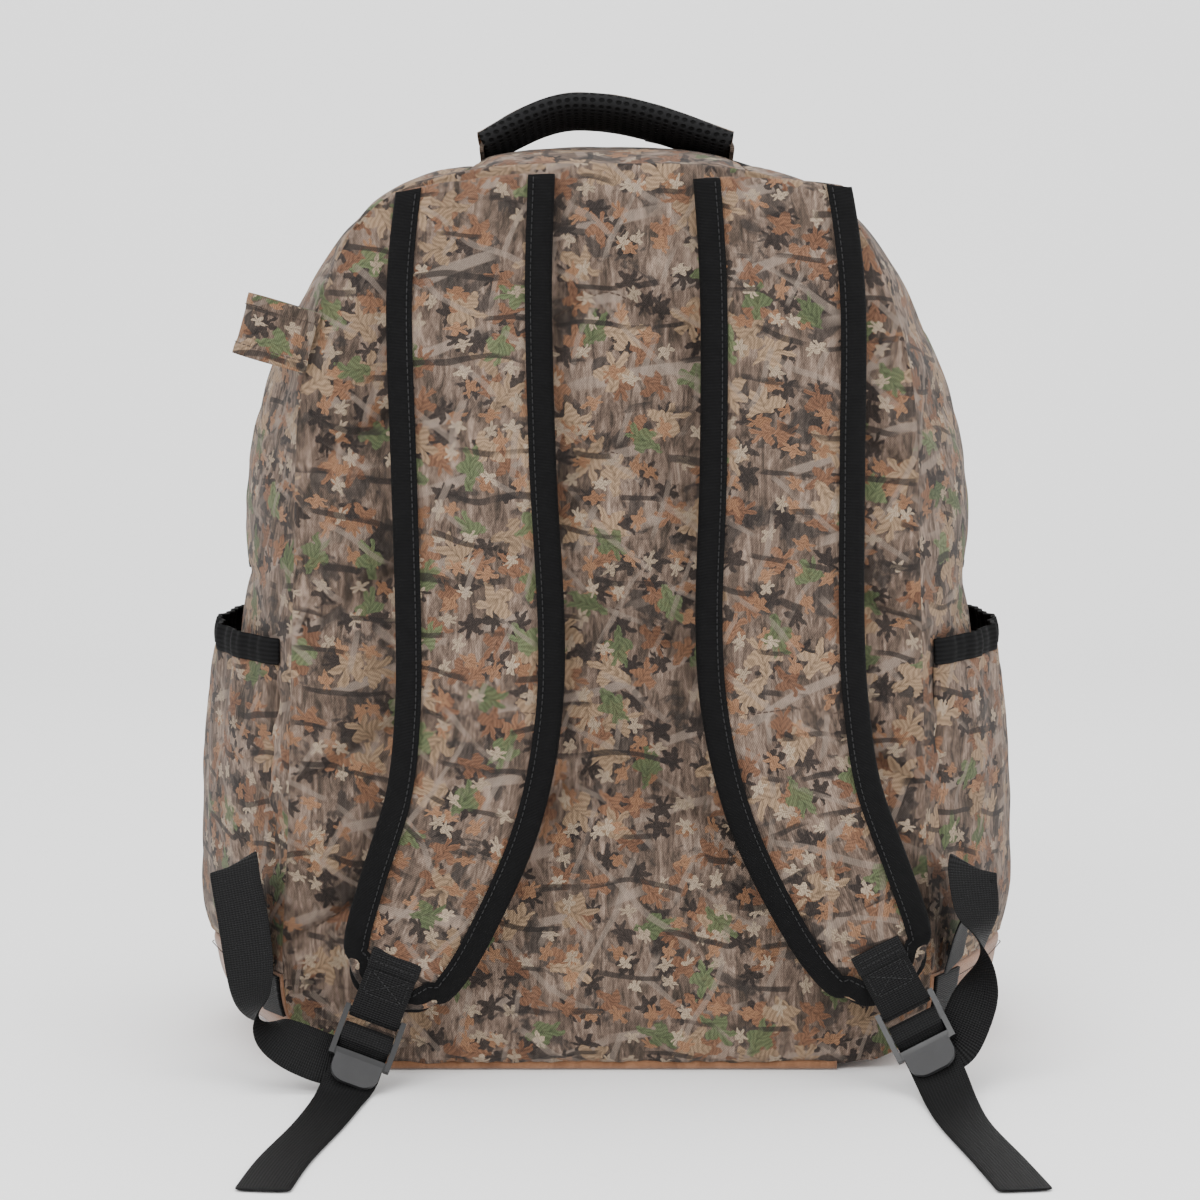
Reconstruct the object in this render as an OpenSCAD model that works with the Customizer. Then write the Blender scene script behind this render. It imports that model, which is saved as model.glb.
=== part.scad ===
// Camouflage backpack standing on its base. The padded back panel faces -Y, the front faces +Y.
// The origin is on the floor, under the middle of the body.

/* [Body] */
// Distance from the back panel's outer face to the body's origin plane
back_y = 95; // [85:1:105]
// Distance from the front panel's outer face to the body's origin plane
front_y = 92; // [80:1:100]
// Thickness of the side, top and flap fabric with its padding
skin_t = 2; // [1.5:0.5:3]
// Thickness of the back panel's foam
back_foam_t = 8; // [5:1:10]

/* [Main zip] */
// Radius of the arc that the zip follows over the shoulders of the body
zip_r = 186; // [184:1:188]
// Height of the centre of that arc
zip_z = 268; // [266:1:272]
// Distance of the zip's plane in front of the origin
zip_y = 10; // [6:1:14]

/* [Shoulder straps] */
// Thickness of the strap foam
strap_foam_t = 7; // [5:0.5:9]
// Largest gap between a strap and the back panel
strap_gap = 23; // [18:1:26]
// Sideways shift of both strap ends, as the straps hang
strap_shift = 16; // [0:1:18]
// Width of the webbing
web_w = 25; // [20:1:25]
// Thickness of the webbing
web_t = 1.2; // [1:0.1:1.5]

/* [Carry handle] */
// Half of the distance between the handle's sewn ends
handle_half = 61; // [58:1:64]
// Rise of the handle above its ends
handle_rise = 19; // [16:1:24]
// Distance of the handle's highest point to the left of the middle
handle_apex = 14; // [0:1:20]
// Width of the handle band
handle_w = 35; // [30:1:36]

/* [Side pockets] */
// Depth of a side pocket's mouth
pocket_gap = 13; // [10:1:14]

/* [Hidden] */

$fn = 32;
left = -1;
right = 1;
camo = "#75624f";
suede = "#8a674e";
black = "#1b1b1c";

// Half outlines [half width, height] from the middle of the base to the middle of the top, ten rows each.
// Row 3 is the top of the base, row 5 the end of the main zip and row 8 the end of the top strip.
base_row = 1;
boot_row = 3;
zip_row = 5;
strip_row = 8;
top_row = 9;
seam_rows = [
    [0, 3], [112, 3], [149, 15], [160, 46], [157, 120],
    [153, 240], [147, 345], [119, 417], [70, 441], [0, 445]
];
front_rows = [
    [0, 3], [110, 3], [150, 15], [166, 46], [166, 120],
    [158, 240], [147, 338], [112, 402], [64, 430], [0, 438]
];
low_rows = [[0, 0], [122, 0], [186, 6], [207, 46], [200, 120]];
zip_angles = [-9, 24, 49.5, 71.5, 90];
// How far the fabric swells outward between its seams at each row, and how far the front stands out
swell_rows = [0, 0, 2, 4, 7, 9, 6, 5, 4, 3];
front_y_rows = [front_y, front_y, front_y, front_y, front_y, front_y, 86, 74, 64, 60];
zip_gap = 5.1;
hinge_gap = 0.5;
flap_z = front_rows[zip_row].y;

// Smooth curve through a list of values or points
function spline(p0, p1, p2, p3, t) =
    0.5 * (2 * p1 + (p2 - p0) * t
        + (2 * p0 - 5 * p1 + 4 * p2 - p3) * t * t
        + (3 * p1 - p0 - 3 * p2 + p3) * t * t * t);
function clamp(v, low, high) = min(high, max(low, v));
function item(list, i) = list[clamp(i, 0, len(list) - 1)];
function along(list, t) =
    let (i = clamp(floor(t), 0, len(list) - 2))
    spline(item(list, i - 1), item(list, i), item(list, i + 1), item(list, i + 2), t - i);
function mix(a, b, t) = a + (b - a) * t;
function unit(v) = v / norm(v);

// A half outline goes on past its last row as its own mirror image
function mirrored(list, i) =
    let (last = len(list) - 1, k = abs(i > last ? 2 * last - i : i))
    [(i < 0 || (i > last && i <= 2 * last) ? -1 : 1) * list[k].x, list[k].y];
function outline(list, u) =
    let (i = floor(u))
    spline(mirrored(list, i - 1), mirrored(list, i), mirrored(list, i + 1), mirrored(list, i + 2), u - i);
function folded(u) = u > top_row ? 2 * top_row - u : u;
function zip_angle(u) = along(zip_angles, folded(u) - zip_row);
function zip_line(u) =
    let (f = folded(u), a = zip_angle(u), ends = [for (k = [0, 1]) zip_point(zip_angles[k])],
         low = concat(low_rows, ends))
    f < zip_row ? outline(low, f) : [(u > top_row ? -1 : 1) * zip_r * cos(a), zip_z + zip_r * sin(a)];
function zip_point(a) = [zip_r * cos(a), zip_z + zip_r * sin(a)];

// The body's fabric surface at outline row u and depth y, and its outward direction
function skin(u, y) =
    let (rear = y < zip_y, depth = along(front_y_rows, folded(u)),
         v = rear ? (y + back_y) / (zip_y + back_y) : (y - zip_y) / (depth - zip_y),
         a = rear ? outline(seam_rows, u) : zip_line(u), b = rear ? zip_line(u) : outline(front_rows, u),
         step = outline(front_rows, u + 0.05) - outline(front_rows, u - 0.05),
         p = mix(a, b, v) + along(swell_rows, folded(u)) * sin(180 * v) * unit([step.y, -step.x]))
    [p.x, y, p.y];
function skin_normal(u, y) =
    let (e = 0.02, d = 0.5, s = y < zip_y ? -1 : 1)
    s * unit(cross(skin(u, y + s * d) - skin(u, y), skin(u + e, y) - skin(u - e, y)));
function over_skin(u, y, h) = skin(u, y) + h * skin_normal(u, y);

// Closed thin solid between two grids of points; each grid is a list of rows
module sheet(outer, inner, flip = false) {
    rows = len(outer) - 1;
    cols = len(outer[0]) - 1;
    count = (rows + 1) * (cols + 1);
    function id(side, i, j) = side * count + i * (cols + 1) + j;
    function quad(a, b, c, d) = [[a, b, c], [a, c, d]];
    quads = concat(
        [for (i = [0:rows - 1], j = [0:cols - 1])
            quad(id(0, i, j), id(0, i, j + 1), id(0, i + 1, j + 1), id(0, i + 1, j))],
        [for (i = [0:rows - 1], j = [0:cols - 1])
            quad(id(1, i, j), id(1, i + 1, j), id(1, i + 1, j + 1), id(1, i, j + 1))],
        [for (i = [0:rows - 1]) quad(id(0, i, 0), id(0, i + 1, 0), id(1, i + 1, 0), id(1, i, 0))],
        [for (i = [0:rows - 1])
            quad(id(0, i + 1, cols), id(0, i, cols), id(1, i, cols), id(1, i + 1, cols))],
        [for (j = [0:cols - 1]) quad(id(0, 0, j + 1), id(0, 0, j), id(1, 0, j), id(1, 0, j + 1))],
        [for (j = [0:cols - 1])
            quad(id(0, rows, j), id(0, rows, j + 1), id(1, rows, j + 1), id(1, rows, j))]
    );
    triangles = [for (q = quads, t = q) flip ? [t[2], t[1], t[0]] : t];
    points = concat([for (row = outer, p = row) p], [for (row = inner, p = row) p]);
    polyhedron(points = points, faces = triangles, convexity = 8);
}

// Piece of the body's fabric from outline row u0 to u1, between the depths y0 and y1
module fabric(u0, u1, y0, y1, rows, cols, over = 0, t = skin_t) {
    function grid(h) = [for (i = [0:rows]) let (u = mix(u0, u1, i / rows))
        [for (j = [0:cols]) over_skin(u, mix(y0, min(y1, along(front_y_rows, folded(u))), j / cols), h)]];
    sheet(grid(over), grid(over - t));
}

// Band swept along rings of four corners
module band(rings) {
    last = len(rings) - 1;
    function quad(a, b, c, d) = [[a, b, c], [a, c, d]];
    sides = [for (i = [0:last - 1], k = [0:3])
        quad(4 * i + k, 4 * i + (k + 1) % 4, 4 * i + 4 + (k + 1) % 4, 4 * i + 4 + k)];
    ends = [quad(3, 2, 1, 0), quad(4 * last, 4 * last + 1, 4 * last + 2, 4 * last + 3)];
    triangles = [for (q = concat(sides, ends), t = q) t];
    polyhedron(points = [for (r = rings, p = r) p], faces = triangles, convexity = 8);
}

module on_side(side) {
    mirror([side == left ? 1 : 0, 0, 0]) children();
}

// Upright plate with the outline of the back panel, drawn in by inset
module back_plate(inset, y0, y1) {
    steps = 6;
    points = [for (i = [0:2 * top_row * steps - 1])
        let (u = i / steps, d = outline(seam_rows, u + 0.05) - outline(seam_rows, u - 0.05))
        outline(seam_rows, u) - inset * unit([d.y, -d.x])];
    translate([0, y1, 0]) rotate([90, 0, 0]) linear_extrude(y1 - y0) polygon(points);
}

// Back panel
cover_t = 1.2;
gap = 0.3;
cover_y = -back_y - cover_t - gap;

module back_cover() {
    color(camo) back_plate(0, cover_y, cover_y + cover_t);
}
module back_foam() {
    color("#5a5a5a") back_plate(4, -back_y, -back_y + back_foam_t);
}
module back_lining() {
    color("#3a3a3a") back_plate(5, -back_y + back_foam_t + gap, -back_y + back_foam_t + gap + 0.8);
}

// Side, top and base fabric
side_rows = 44;
seam_gap = 0.9;

module top_strip() {
    color(camo) fabric(strip_row + 0.01, 2 * top_row - strip_row - 0.01, -back_y, zip_y - zip_gap, 16, 5);
}
// The rear side fabric ends at the front side fabric below the zip, and at the zip's tape beside it
function rear_edge(u) = u < zip_row - 0.1 ? zip_y - seam_gap : zip_y - zip_gap;

module gusset_rear(side) {
    cols = 6;
    function grid(h) = [for (i = [0:side_rows]) let (u = mix(boot_row, strip_row - 0.01, i / side_rows))
        [for (j = [0:cols]) over_skin(u, mix(-back_y, rear_edge(u), j / cols), h)]];
    color(camo) on_side(side) sheet(grid(0), grid(-skin_t));
}
module gusset_front(side) {
    color(camo) on_side(side) fabric(boot_row, zip_row - 0.02, zip_y + seam_gap, front_y - 2.4, 14, 5);
}
module boot(side) {
    color(suede) on_side(side) fabric(base_row + 0.01, boot_row - 0.01, -back_y, front_y - 2.4, 12, 12);
}
base_t = 2;
base_steps = 12;
board_half = 108;
board_y = 74;

// The base panel ends just inside the boots' edges, which bow outward between the back and the front
module base_panel() {
    edge = [for (i = [0:base_steps]) let (y = mix(-back_y + 1, front_y - 3, i / base_steps))
        [skin(base_row, y).x - 2.6, y]];
    points = concat(edge, [for (i = [base_steps:-1:0]) [-edge[i].x, edge[i].y]]);
    color(suede) linear_extrude(base_t) polygon(points);
}
module base_board() {
    color("#4a4a4a") translate([-board_half, -board_y, base_t + gap]) cube([2 * board_half, 2 * board_y, 2]);
}

// Front panel below the flap, upright and flat
module front_panel() {
    steps = 8;
    half = [for (i = [1 * steps:zip_row * steps]) outline(front_rows, i / steps)];
    points = concat(half, [for (i = [len(half) - 1:-1:0]) [-half[i].x, half[i].y]]);
    color(camo) translate([0, front_y, 0]) rotate([90, 0, 0]) linear_extrude(skin_t)
        intersection() {
            polygon(points);
            translate([-200, 0]) square([400, flap_z - hinge_gap]);
        }
}

// Flap: the upper part of the front, which falls forward when the main zip is open
module flap_panel() {
    rows = 14;
    cols = 12;
    u0 = zip_row + 0.01;
    u1 = top_row - 0.12;
    function grid(h) = [for (i = [0:rows]) let (u = mix(u0, u1, i / rows), p = outline(front_rows, u))
        [for (j = [0:cols]) [-p.x + 2 * p.x * j / cols, along(front_y_rows, u) - h, p.y]]];
    color(camo) sheet(grid(skin_t), grid(0));
}
module flap_gusset() {
    rows = 56;
    cols = 4;
    u0 = zip_row + 0.03;
    function grid(h) = [for (i = [0:rows]) let (u = mix(u0, 2 * top_row - u0, i / rows))
        let (front = along(front_y_rows, folded(u)) - 2.5)
        [for (j = [0:cols]) over_skin(u, mix(zip_y + zip_gap, front, j / cols), h)]];
    color(camo) sheet(grid(0), grid(-skin_t));
}

// Main zip: half tape and half chain on each side, on one true arc
tape_t = 1;
chain_t = 2.4;
tape_end = zip_gap - gap;
chain_half = 1.6;

module zip_arc(r0, r1, y0, y1) {
    translate([0, 0, zip_z]) rotate([90, 0, 0]) rotate([0, 0, zip_angles[0]])
        rotate_extrude(angle = 180 - 2 * zip_angles[0], $fn = 120)
            translate([r0, -y1]) square([r1 - r0, y1 - y0]);
}
module zip_tape_rear() {
    color(black) zip_arc(zip_r - 1.5, zip_r - 1.5 + tape_t, zip_y - tape_end, zip_y - chain_half - 0.1);
}
module zip_chain_rear() {
    color(black) zip_arc(zip_r - 2.2, zip_r - 2.2 + chain_t, zip_y - chain_half, zip_y - 0.1);
}
module zip_tape_flap() {
    color(black) zip_arc(zip_r - 1.5, zip_r - 1.5 + tape_t, zip_y + chain_half + 0.1, zip_y + tape_end);
}
module zip_chain_flap() {
    color(black) zip_arc(zip_r - 2.2, zip_r - 2.2 + chain_t, zip_y + 0.1, zip_y + chain_half);
}

// Places children at an angle along the zip, with X along the zip, Z outward
module at_zip(angle, r) {
    translate([0, zip_y, zip_z]) rotate([0, 90 - angle, 0]) translate([0, 0, r]) children();
}
module zip_stops() {
    color(black)
    for (side = [left, right])
        on_side(side) at_zip(zip_angles[0] + 1, zip_r + 0.4) translate([-2, -3, 0]) cube([4, 2.9, 1.6]);
}

// Zip sliders, each with a pull on its bail
slider_l = 11;
slider_w = 8;
slider_base = 0.5;
slider_top = 3.5;
bail_r = 1;
bail_z = 6.2;
bail_w = 5.2;
ring_r = 2.3;
ring_w = 3;
slider_angles = [11.8, 17.9];
pull_l = 17;
pull_w = 6;
pull_t = 1.6;

module slider_body() {
    color(black) union() {
        difference() {
            translate([-slider_l / 2, -slider_w / 2, slider_base])
                cube([slider_l, slider_w, slider_top - slider_base]);
            translate([-slider_l, -chain_half - 0.4, 0]) cube([2 * slider_l, 2 * chain_half + 0.8, 1.4]);
        }
        for (y = [-bail_w / 2, bail_w / 2 - 0.9])
            translate([-1, y, slider_top - 0.2]) cube([2, 0.9, bail_z - slider_top + 0.2]);
        translate([0, bail_w / 2, bail_z]) rotate([90, 0, 0]) cylinder(r = bail_r, h = bail_w);
    }
}
module pull_body() {
    color(black) translate([0, 0, bail_z]) difference() {
        union() {
            translate([0, ring_w / 2, 0]) rotate([90, 0, 0]) cylinder(r = ring_r, h = ring_w);
            translate([0, -ring_w / 2, -pull_t / 2]) cube([8, ring_w, pull_t]);
            translate([7, -pull_w / 2, -pull_t / 2]) cube([pull_l - 7, pull_w, pull_t]);
            translate([pull_l, 0, -pull_t / 2]) cylinder(r = pull_w / 2, h = pull_t);
        }
        translate([0, ring_w, 0]) rotate([90, 0, 0]) cylinder(r = bail_r + 0.3, h = 2 * ring_w);
    }
}
module slider(k) {
    at_zip(90 - slider_angles[k], zip_r) slider_body();
}
module pull(k) {
    at_zip(90 - slider_angles[k], zip_r) rotate([0, 0, k == 0 ? 180 : 0]) pull_body();
}

// Front pocket: a flat pouch with its zip along the top
pocket_half = 112;
pocket_low = 42;
pocket_high = 212;
pocket_d = 18;
pocket_zip_z = 214;
pocket_slider_x = 84;

module front_pocket() {
    rows = 14;
    cols = 18;
    function rise(r, c) =
        pow(sin(180 * clamp(r, 0.001, 0.999)), 0.45) * pow(cos(90 * clamp(c, -0.999, 0.999)), 0.35);
    function grid(h) = [for (i = [0:rows]) let (r = i / rows)
        [for (j = [0:cols]) let (c = -1 + 2 * j / cols)
            [pocket_half * c, front_y + gap + h + pocket_d * rise(r, c), mix(pocket_low, pocket_high, r)]]];
    color(camo) sheet(grid(0), grid(skin_t));
}
module front_pocket_zip() {
    color(black) union() {
        translate([-pocket_half, front_y + gap, pocket_zip_z]) cube([2 * pocket_half, 1, 10]);
        translate([-pocket_half, front_y + gap, pocket_zip_z + 3.4]) cube([2 * pocket_half, chain_t, 3.2]);
    }
}
module at_pocket_zip() {
    translate([pocket_slider_x, front_y + gap + 1.2, pocket_zip_z + 5]) rotate([-90, 0, 0]) children();
}
module front_pocket_slider() {
    at_pocket_zip() translate([0, 0, 0.2]) slider_body();
}
module front_pocket_pull() {
    at_pocket_zip() translate([0, 0, 0.2]) pull_body();
}

// Side pockets: gathered pouches over the lower side fabric, open at the top
pocket_top_u = 4.78;
pocket_bottom_u = 3.02;
pocket_y = [-84, 80];
elastic_u = pocket_top_u - 0.1;

module pouch(u0, u1, over, t, rows) {
    cols = 14;
    function height(u) = sin(90 * (u - pocket_bottom_u) / (pocket_top_u - pocket_bottom_u));
    function rise(u, j) = 0.4 + pocket_gap * height(u) * pow(sin(180 * clamp(j / cols, 0.001, 0.999)), 0.6);
    function grid(h) = [for (i = [0:rows]) let (u = mix(u0, u1, i / rows))
        [for (j = [0:cols]) over_skin(u, mix(pocket_y[0], pocket_y[1], j / cols), rise(u, j) + h)]];
    sheet(grid(over + t), grid(over));
}
module side_pocket(side) {
    color(camo) on_side(side) pouch(pocket_bottom_u, elastic_u - 0.003, 0, 1.6, 10);
}
module pocket_elastic(side) {
    color(black) on_side(side) pouch(elastic_u, pocket_top_u, 0, 2.2, 2);
}

// Carry handle: an arched band, leaning forward, sewn down at both ends
handle_y = -40;
handle_z = 451.5;
handle_lean = 16;
handle_core_t = 5;
handle_skin_t = 1.2;

module handle_band(t0, t1) {
    steps = 24;
    function reach(x) = clamp((x + handle_apex) / (handle_half + sign(x + handle_apex) * handle_apex), -1, 1);
    function arch(x) = handle_rise * pow(cos(90 * reach(x)), 1.15);
    function at(i, t) =
        let (x = mix(-handle_half, handle_half, i / steps), d = (arch(x + 0.2) - arch(x - 0.2)) / 0.4)
        [x, arch(x)] + t * unit([-d, 1]);
    points = concat([for (i = [0:steps]) at(i, t0)], [for (i = [steps:-1:0]) at(i, t1)]);
    translate([0, handle_y, handle_z]) rotate([90 - handle_lean, 0, 0])
        translate([0, 0, -handle_w / 2]) linear_extrude(handle_w) polygon(points);
}
module handle_mesh() {
    color("#101010") handle_band(0, handle_skin_t);
}
module handle_core() {
    color("#5a5a5a") handle_band(handle_skin_t + 0.1, handle_skin_t + handle_core_t);
}
module handle_cover() {
    color(camo) handle_band(handle_skin_t + handle_core_t + 0.1, 2 * handle_skin_t + handle_core_t);
}

// Rod loop: a folded band sewn into the left seam
loop_l = 36;
loop_w = 30;
loop_half = 8.5;
loop_t = 1.6;

module rod_loop() {
    steps = 36;
    function drop(l, h) = [for (i = [0:steps - 1]) let (a = 360 * i / steps)
        [l / 2 * (1 - cos(a)), h * sin(a) * pow(sin(clamp(a > 180 ? (360 - a) / 2 : a / 2, 1, 90)), 0.6)]];
    color(camo) translate([-142, -cover_t - back_y - 4, 359]) rotate([0, 16, 0]) rotate([0, 0, 173])
        translate([0, 0, -loop_w / 2]) linear_extrude(loop_w) difference() {
            polygon(drop(loop_l, loop_half));
            translate([loop_t, 0]) polygon(drop(loop_l - 2 * loop_t, loop_half - loop_t));
        }
}

// Shoulder straps. Both hang from the top seam; their lower ends have slid a little to the right.
strap_rows = [
    [71, 445], [75, 384], [74, 301], [72, 225], [74, 181], [82, 138], [99, 95], [113, 65], [125, 44]
];
strap_half = [36, 37.5, 37.5, 38.5, 38, 36, 33.5, 31, 27];
strap_steps = 32;
strap_start = 8;
strap_rise = 2.8;
// How far the top corners of a strap, inner and outer, lie below its middle line's top
strap_drop = [4, 15];
strap_drop_end = 0.3;
strap_skin_t = 1.2;
binding_t = 2;
strap_thick = strap_foam_t + 2 * strap_skin_t + 0.2;

function strap_mid(side, s) =
    let (p = along(strap_rows, (len(strap_rows) - 1) * s), shift = mix(strap_start, strap_shift, s))
    [side * p.x + shift, cover_y - 2.5 - strap_gap * sin(122 * s), p.y + side * strap_rise * s * s];
function strap_across(side, s) =
    let (d = strap_mid(side, s + 0.01) - strap_mid(side, s - 0.01)) unit([-d.z, 0, d.x]);
function strap_fall(side, s, a) =
    mix(strap_drop[0], strap_drop[1], pow(clamp(0.5 + side * a / strap_width(s) / 2, 0, 1), 1.5))
    * pow(clamp(1 - s / strap_drop_end, 0, 1), 2);
function strap_point(side, s, a, t) =
    strap_mid(side, s) + a * strap_across(side, s) - [0, t, strap_fall(side, s, a)];
function strap_width(s) = along(strap_half, (len(strap_rows) - 1) * s);

module strap_layer(side, t0, t1) {
    function grid(t) = [for (i = [0:strap_steps]) let (s = i / strap_steps)
        [for (a = [-1, -0.4, 0.4, 1]) strap_point(side, s, a * strap_width(s), t)]];
    sheet(grid(t1), grid(t0));
}
module strap_mesh(side) {
    color("#101010") strap_layer(side, 0, strap_skin_t);
}
module strap_foam(side) {
    color("#5a5a5a") strap_layer(side, strap_skin_t + 0.1, strap_skin_t + 0.1 + strap_foam_t);
}
module strap_cover(side) {
    color(camo) strap_layer(side, strap_thick - strap_skin_t, strap_thick);
}
module strap_binding(side) {
    inner = 0.15;
    outer = inner + binding_t;
    edge = concat(
        [for (i = [0:strap_steps]) [i / strap_steps, 1]],
        [for (i = [strap_steps:-1:0]) [i / strap_steps, -1]]
    );
    low = -0.5;
    high = strap_thick + 0.5;
    function ring(e) = [for (p = [[inner, low], [outer, low], [outer, high], [inner, high]])
        strap_point(side, e[0] + (e[0] == 1 ? p[0] * 0.0022 : 0), e[1] * (strap_width(e[0]) + p[0]), p[1])];
    color(black) band([for (e = edge) ring(e)]);
}

// Ladder-lock buckle: three bars between two rails, with a thumb tab. X across, Z up, front toward -Y.
buckle_w = 31;
rail_w = 2.6;
bar_half = 1.4;
top_bar_r = 1.6;
mid_bar = [-14, -10];
low_bar = [-24, -20];
tab_tip = -38;
tab_r = 8;
tab_lean = 14;
buckle_lean = 30;
loop_gap = 0.4;
buckle_drop = 8;

function buckle_at(side) =
    [side * 128.5 + strap_shift, strap_mid(side, 1).y - strap_thick + 1.2, 36.8 + side * strap_rise];
function buckle_tilt(side) = -side * 24.2 - 3.4;

// A point of the buckle's own frame in the body's frame
function lean(p, a) = [p.x, p.y * cos(a) + p.z * sin(a), -p.y * sin(a) + p.z * cos(a)];
function tilt(p, a) = [p.x * cos(a) + p.z * sin(a), p.y, -p.x * sin(a) + p.z * cos(a)];
function from_buckle(side, p) = buckle_at(side) + tilt(lean(p, buckle_lean), buckle_tilt(side));

module at_buckle(side, lean_angle) {
    translate(buckle_at(side)) rotate([0, buckle_tilt(side), 0]) rotate([-lean_angle, 0, 0]) children();
}
module buckle_bar(z) {
    translate([-buckle_w / 2, -bar_half, z[0]]) cube([buckle_w, 2 * bar_half, z[1] - z[0]]);
}
module buckle(side) {
    color(black) at_buckle(side, buckle_lean) union() {
        translate([-buckle_w / 2, 0, 0]) rotate([0, 90, 0]) cylinder(r = top_bar_r, h = buckle_w);
        buckle_bar(mid_bar);
        buckle_bar(low_bar);
        for (x = [-buckle_w / 2, buckle_w / 2 - rail_w])
            translate([x, -2.6, low_bar[0]]) cube([rail_w, 5.2, top_bar_r - low_bar[0]]);
        translate([0, 1, low_bar[0] + 1]) rotate([90 - tab_lean, 0, 0]) linear_extrude(2.4) hull() {
            translate([-12, -1]) square([24, 2]);
            for (x = [-4, 4]) translate([x, tab_tip + tab_r - low_bar[0]]) circle(r = tab_r);
        }
    }
}

// Strap end tab: webbing sewn to the strap's face, folded round the buckle's top bar
tab_long = 34;
tab_back = -3.2;
module strap_tab(side) {
    r0 = top_bar_r + loop_gap;
    r1 = r0 + web_t;
    color(black) at_buckle(side, tab_back) rotate([90, 0, 90]) translate([0, 0, -web_w / 2])
        linear_extrude(web_w) union() {
            difference() {
                circle(r = r1);
                circle(r = r0);
                translate([-10, 0]) square([20, 10]);
            }
            translate([-r1, 0]) square([web_t, tab_long]);
            translate([r0, 0]) square([web_t, buckle_drop - 3.5]);
        }
}

// Adjuster webbing: from the lower side seam up to a fold, down and round through the buckle, and out along
// the floor. Each stop holds its place and the direction of the webbing's width.
route_left = [
    [[-173, -79, 48], [0.45, -0.89, 0]], [[-177, -90, 78], [0.25, -0.97, 0]],
    [[-181.5, -101, 99], [-0.6, -0.7, -0.4]],
    [[-182, -107, 105], [-0.85, -0.3, -0.45]], [[-181, -112, 99], [-0.88, 0, -0.47]],
    [[-177, -117, 80], [-0.93, 0, -0.35]], [[-174, -121, 60], [-0.96, 0.15, -0.22]],
    [[-172, -126, 44], [-0.8, 0.6, -0.05]], [[-168, -130, 33], [-0.25, 0.95, 0.2]],
    [[-159, -133, 26], [0.1, 0.75, 0.65]], [[-147, -135, 20], [0.3, 0.5, 0.8]]
];
route_right = [
    [[173, -79, 48], [-0.45, -0.89, 0]], [[177, -90, 78], [-0.25, -0.97, 0]],
    [[179, -100, 98], [0.6, -0.7, -0.4]],
    [[178.5, -106, 104], [0.85, -0.3, -0.45]], [[178.5, -111, 98], [0.88, 0, -0.47]],
    [[180, -116, 84], [0.85, 0.3, -0.3]], [[181.5, -121, 70], [0.25, 0.95, -0.1]],
    [[181, -127, 56], [-0.3, 0.85, 0.2]], [[177, -131, 42], [-0.6, 0.6, 0.45]]
];
// In the buckle's frame, with X outward: the turn behind the buckle, then over the middle bar
route_buckle = [
    [[13, 5, -26], [0, 0, 1]], [[3.8, 4.6, -22], [0.7, 0, 0.7]], [[0, 4.3, -14.5], [1, 0, 0]],
    [[0, 3.3, -9.8], [1, 0, 0]], [[0, 0, -6.8], [1, 0, 0]], [[0, -2.8, -8.8], [1, 0, 0]],
    [[0, -3.1, -12], [1, 0, 0]], [[0, -2.7, -15], [1, 0, 0]], [[0, -0.2, -17.3], [1, 0, 0]],
    [[0, 2.3, -19.9], [1, 0, 0]], [[0, 2.4, -24], [1, 0, 0]], [[0, 2.6, -29], [1, 0, 0]]
];
tail_left = [
    [[-125, -147, 4.6], [-0.95, 0.06, 0.24]], [[-128, -162, 1.9], [-0.98, 0.12, 0.06]],
    [[-134, -200, 0.9], [-0.98, 0.17, 0]], [[-144, -255, 0.9], [-0.98, 0.17, 0]],
    [[-149, -300, 0.9], [-0.99, 0.1, 0]]
];
tail_right = [
    [[160, -149, 9.5], [0.95, 0.06, 0.3]], [[163, -168, 2.8], [0.98, 0.12, 0.1]],
    [[166, -200, 0.9], [0.98, 0.17, 0]], [[174, -255, 0.9], [0.98, 0.17, 0]],
    [[180, -300, 0.9], [0.99, 0.1, 0]]
];
function route_stops(side) = concat(
    side == left ? route_left : route_right,
    [for (r = route_buckle)
        let (p = [side * r[0].x, r[0].y, r[0].z], w = [side * r[1].x, r[1].y, r[1].z])
        [from_buckle(side, p), from_buckle(side, w) - buckle_at(side)]],
    side == left ? tail_left : tail_right
);

module adjuster(side) {
    stops = route_stops(side);
    places = [for (s = stops) s[0]];
    widths = [for (s = stops) s[1]];
    per = 4;
    count = per * (len(stops) - 1);
    function ring(i) =
        let (t = i / per, p = along(places, t), d = along(places, t + 0.1) - along(places, t - 0.1),
             raw = along(widths, t), w = unit(raw - (raw * unit(d)) * unit(d)), n = unit(cross(d, w)))
        [for (c = [[-1, -1], [1, -1], [1, 1], [-1, 1]]) p + c[0] * web_w / 2 * w + c[1] * web_t / 2 * n];
    color(black) band([for (i = [0:count]) ring(i)]);
}
module web_anchor(side) {
    color(black) on_side(side) fabric(2.5, 3, -92, -66, 3, 4, 2.2, 1.6);
}

back_cover();
back_foam();
back_lining();
top_strip();
gusset_rear(left);  // gusset_rear_left
gusset_rear(right);  // gusset_rear_right
gusset_front(left);  // gusset_front_left
gusset_front(right);  // gusset_front_right
base_panel();
base_board();
boot(left);  // boot_left
boot(right);  // boot_right
front_panel();
side_pocket(left);  // side_pocket_left
side_pocket(right);  // side_pocket_right
pocket_elastic(left);  // pocket_elastic_left
pocket_elastic(right);  // pocket_elastic_right
front_pocket();
front_pocket_zip();
front_pocket_slider();
front_pocket_pull();
zip_tape_rear();
zip_chain_rear();
zip_stops();
zip_tape_flap();
zip_chain_flap();
flap_panel();
flap_gusset();
slider(0);  // slider_left
slider(1);  // slider_right
pull(0);  // pull_left
pull(1);  // pull_right
handle_cover();
handle_core();
handle_mesh();
rod_loop();
web_anchor(left);  // web_anchor_left
web_anchor(right);  // web_anchor_right
adjuster(left);  // adjuster_left
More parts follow.
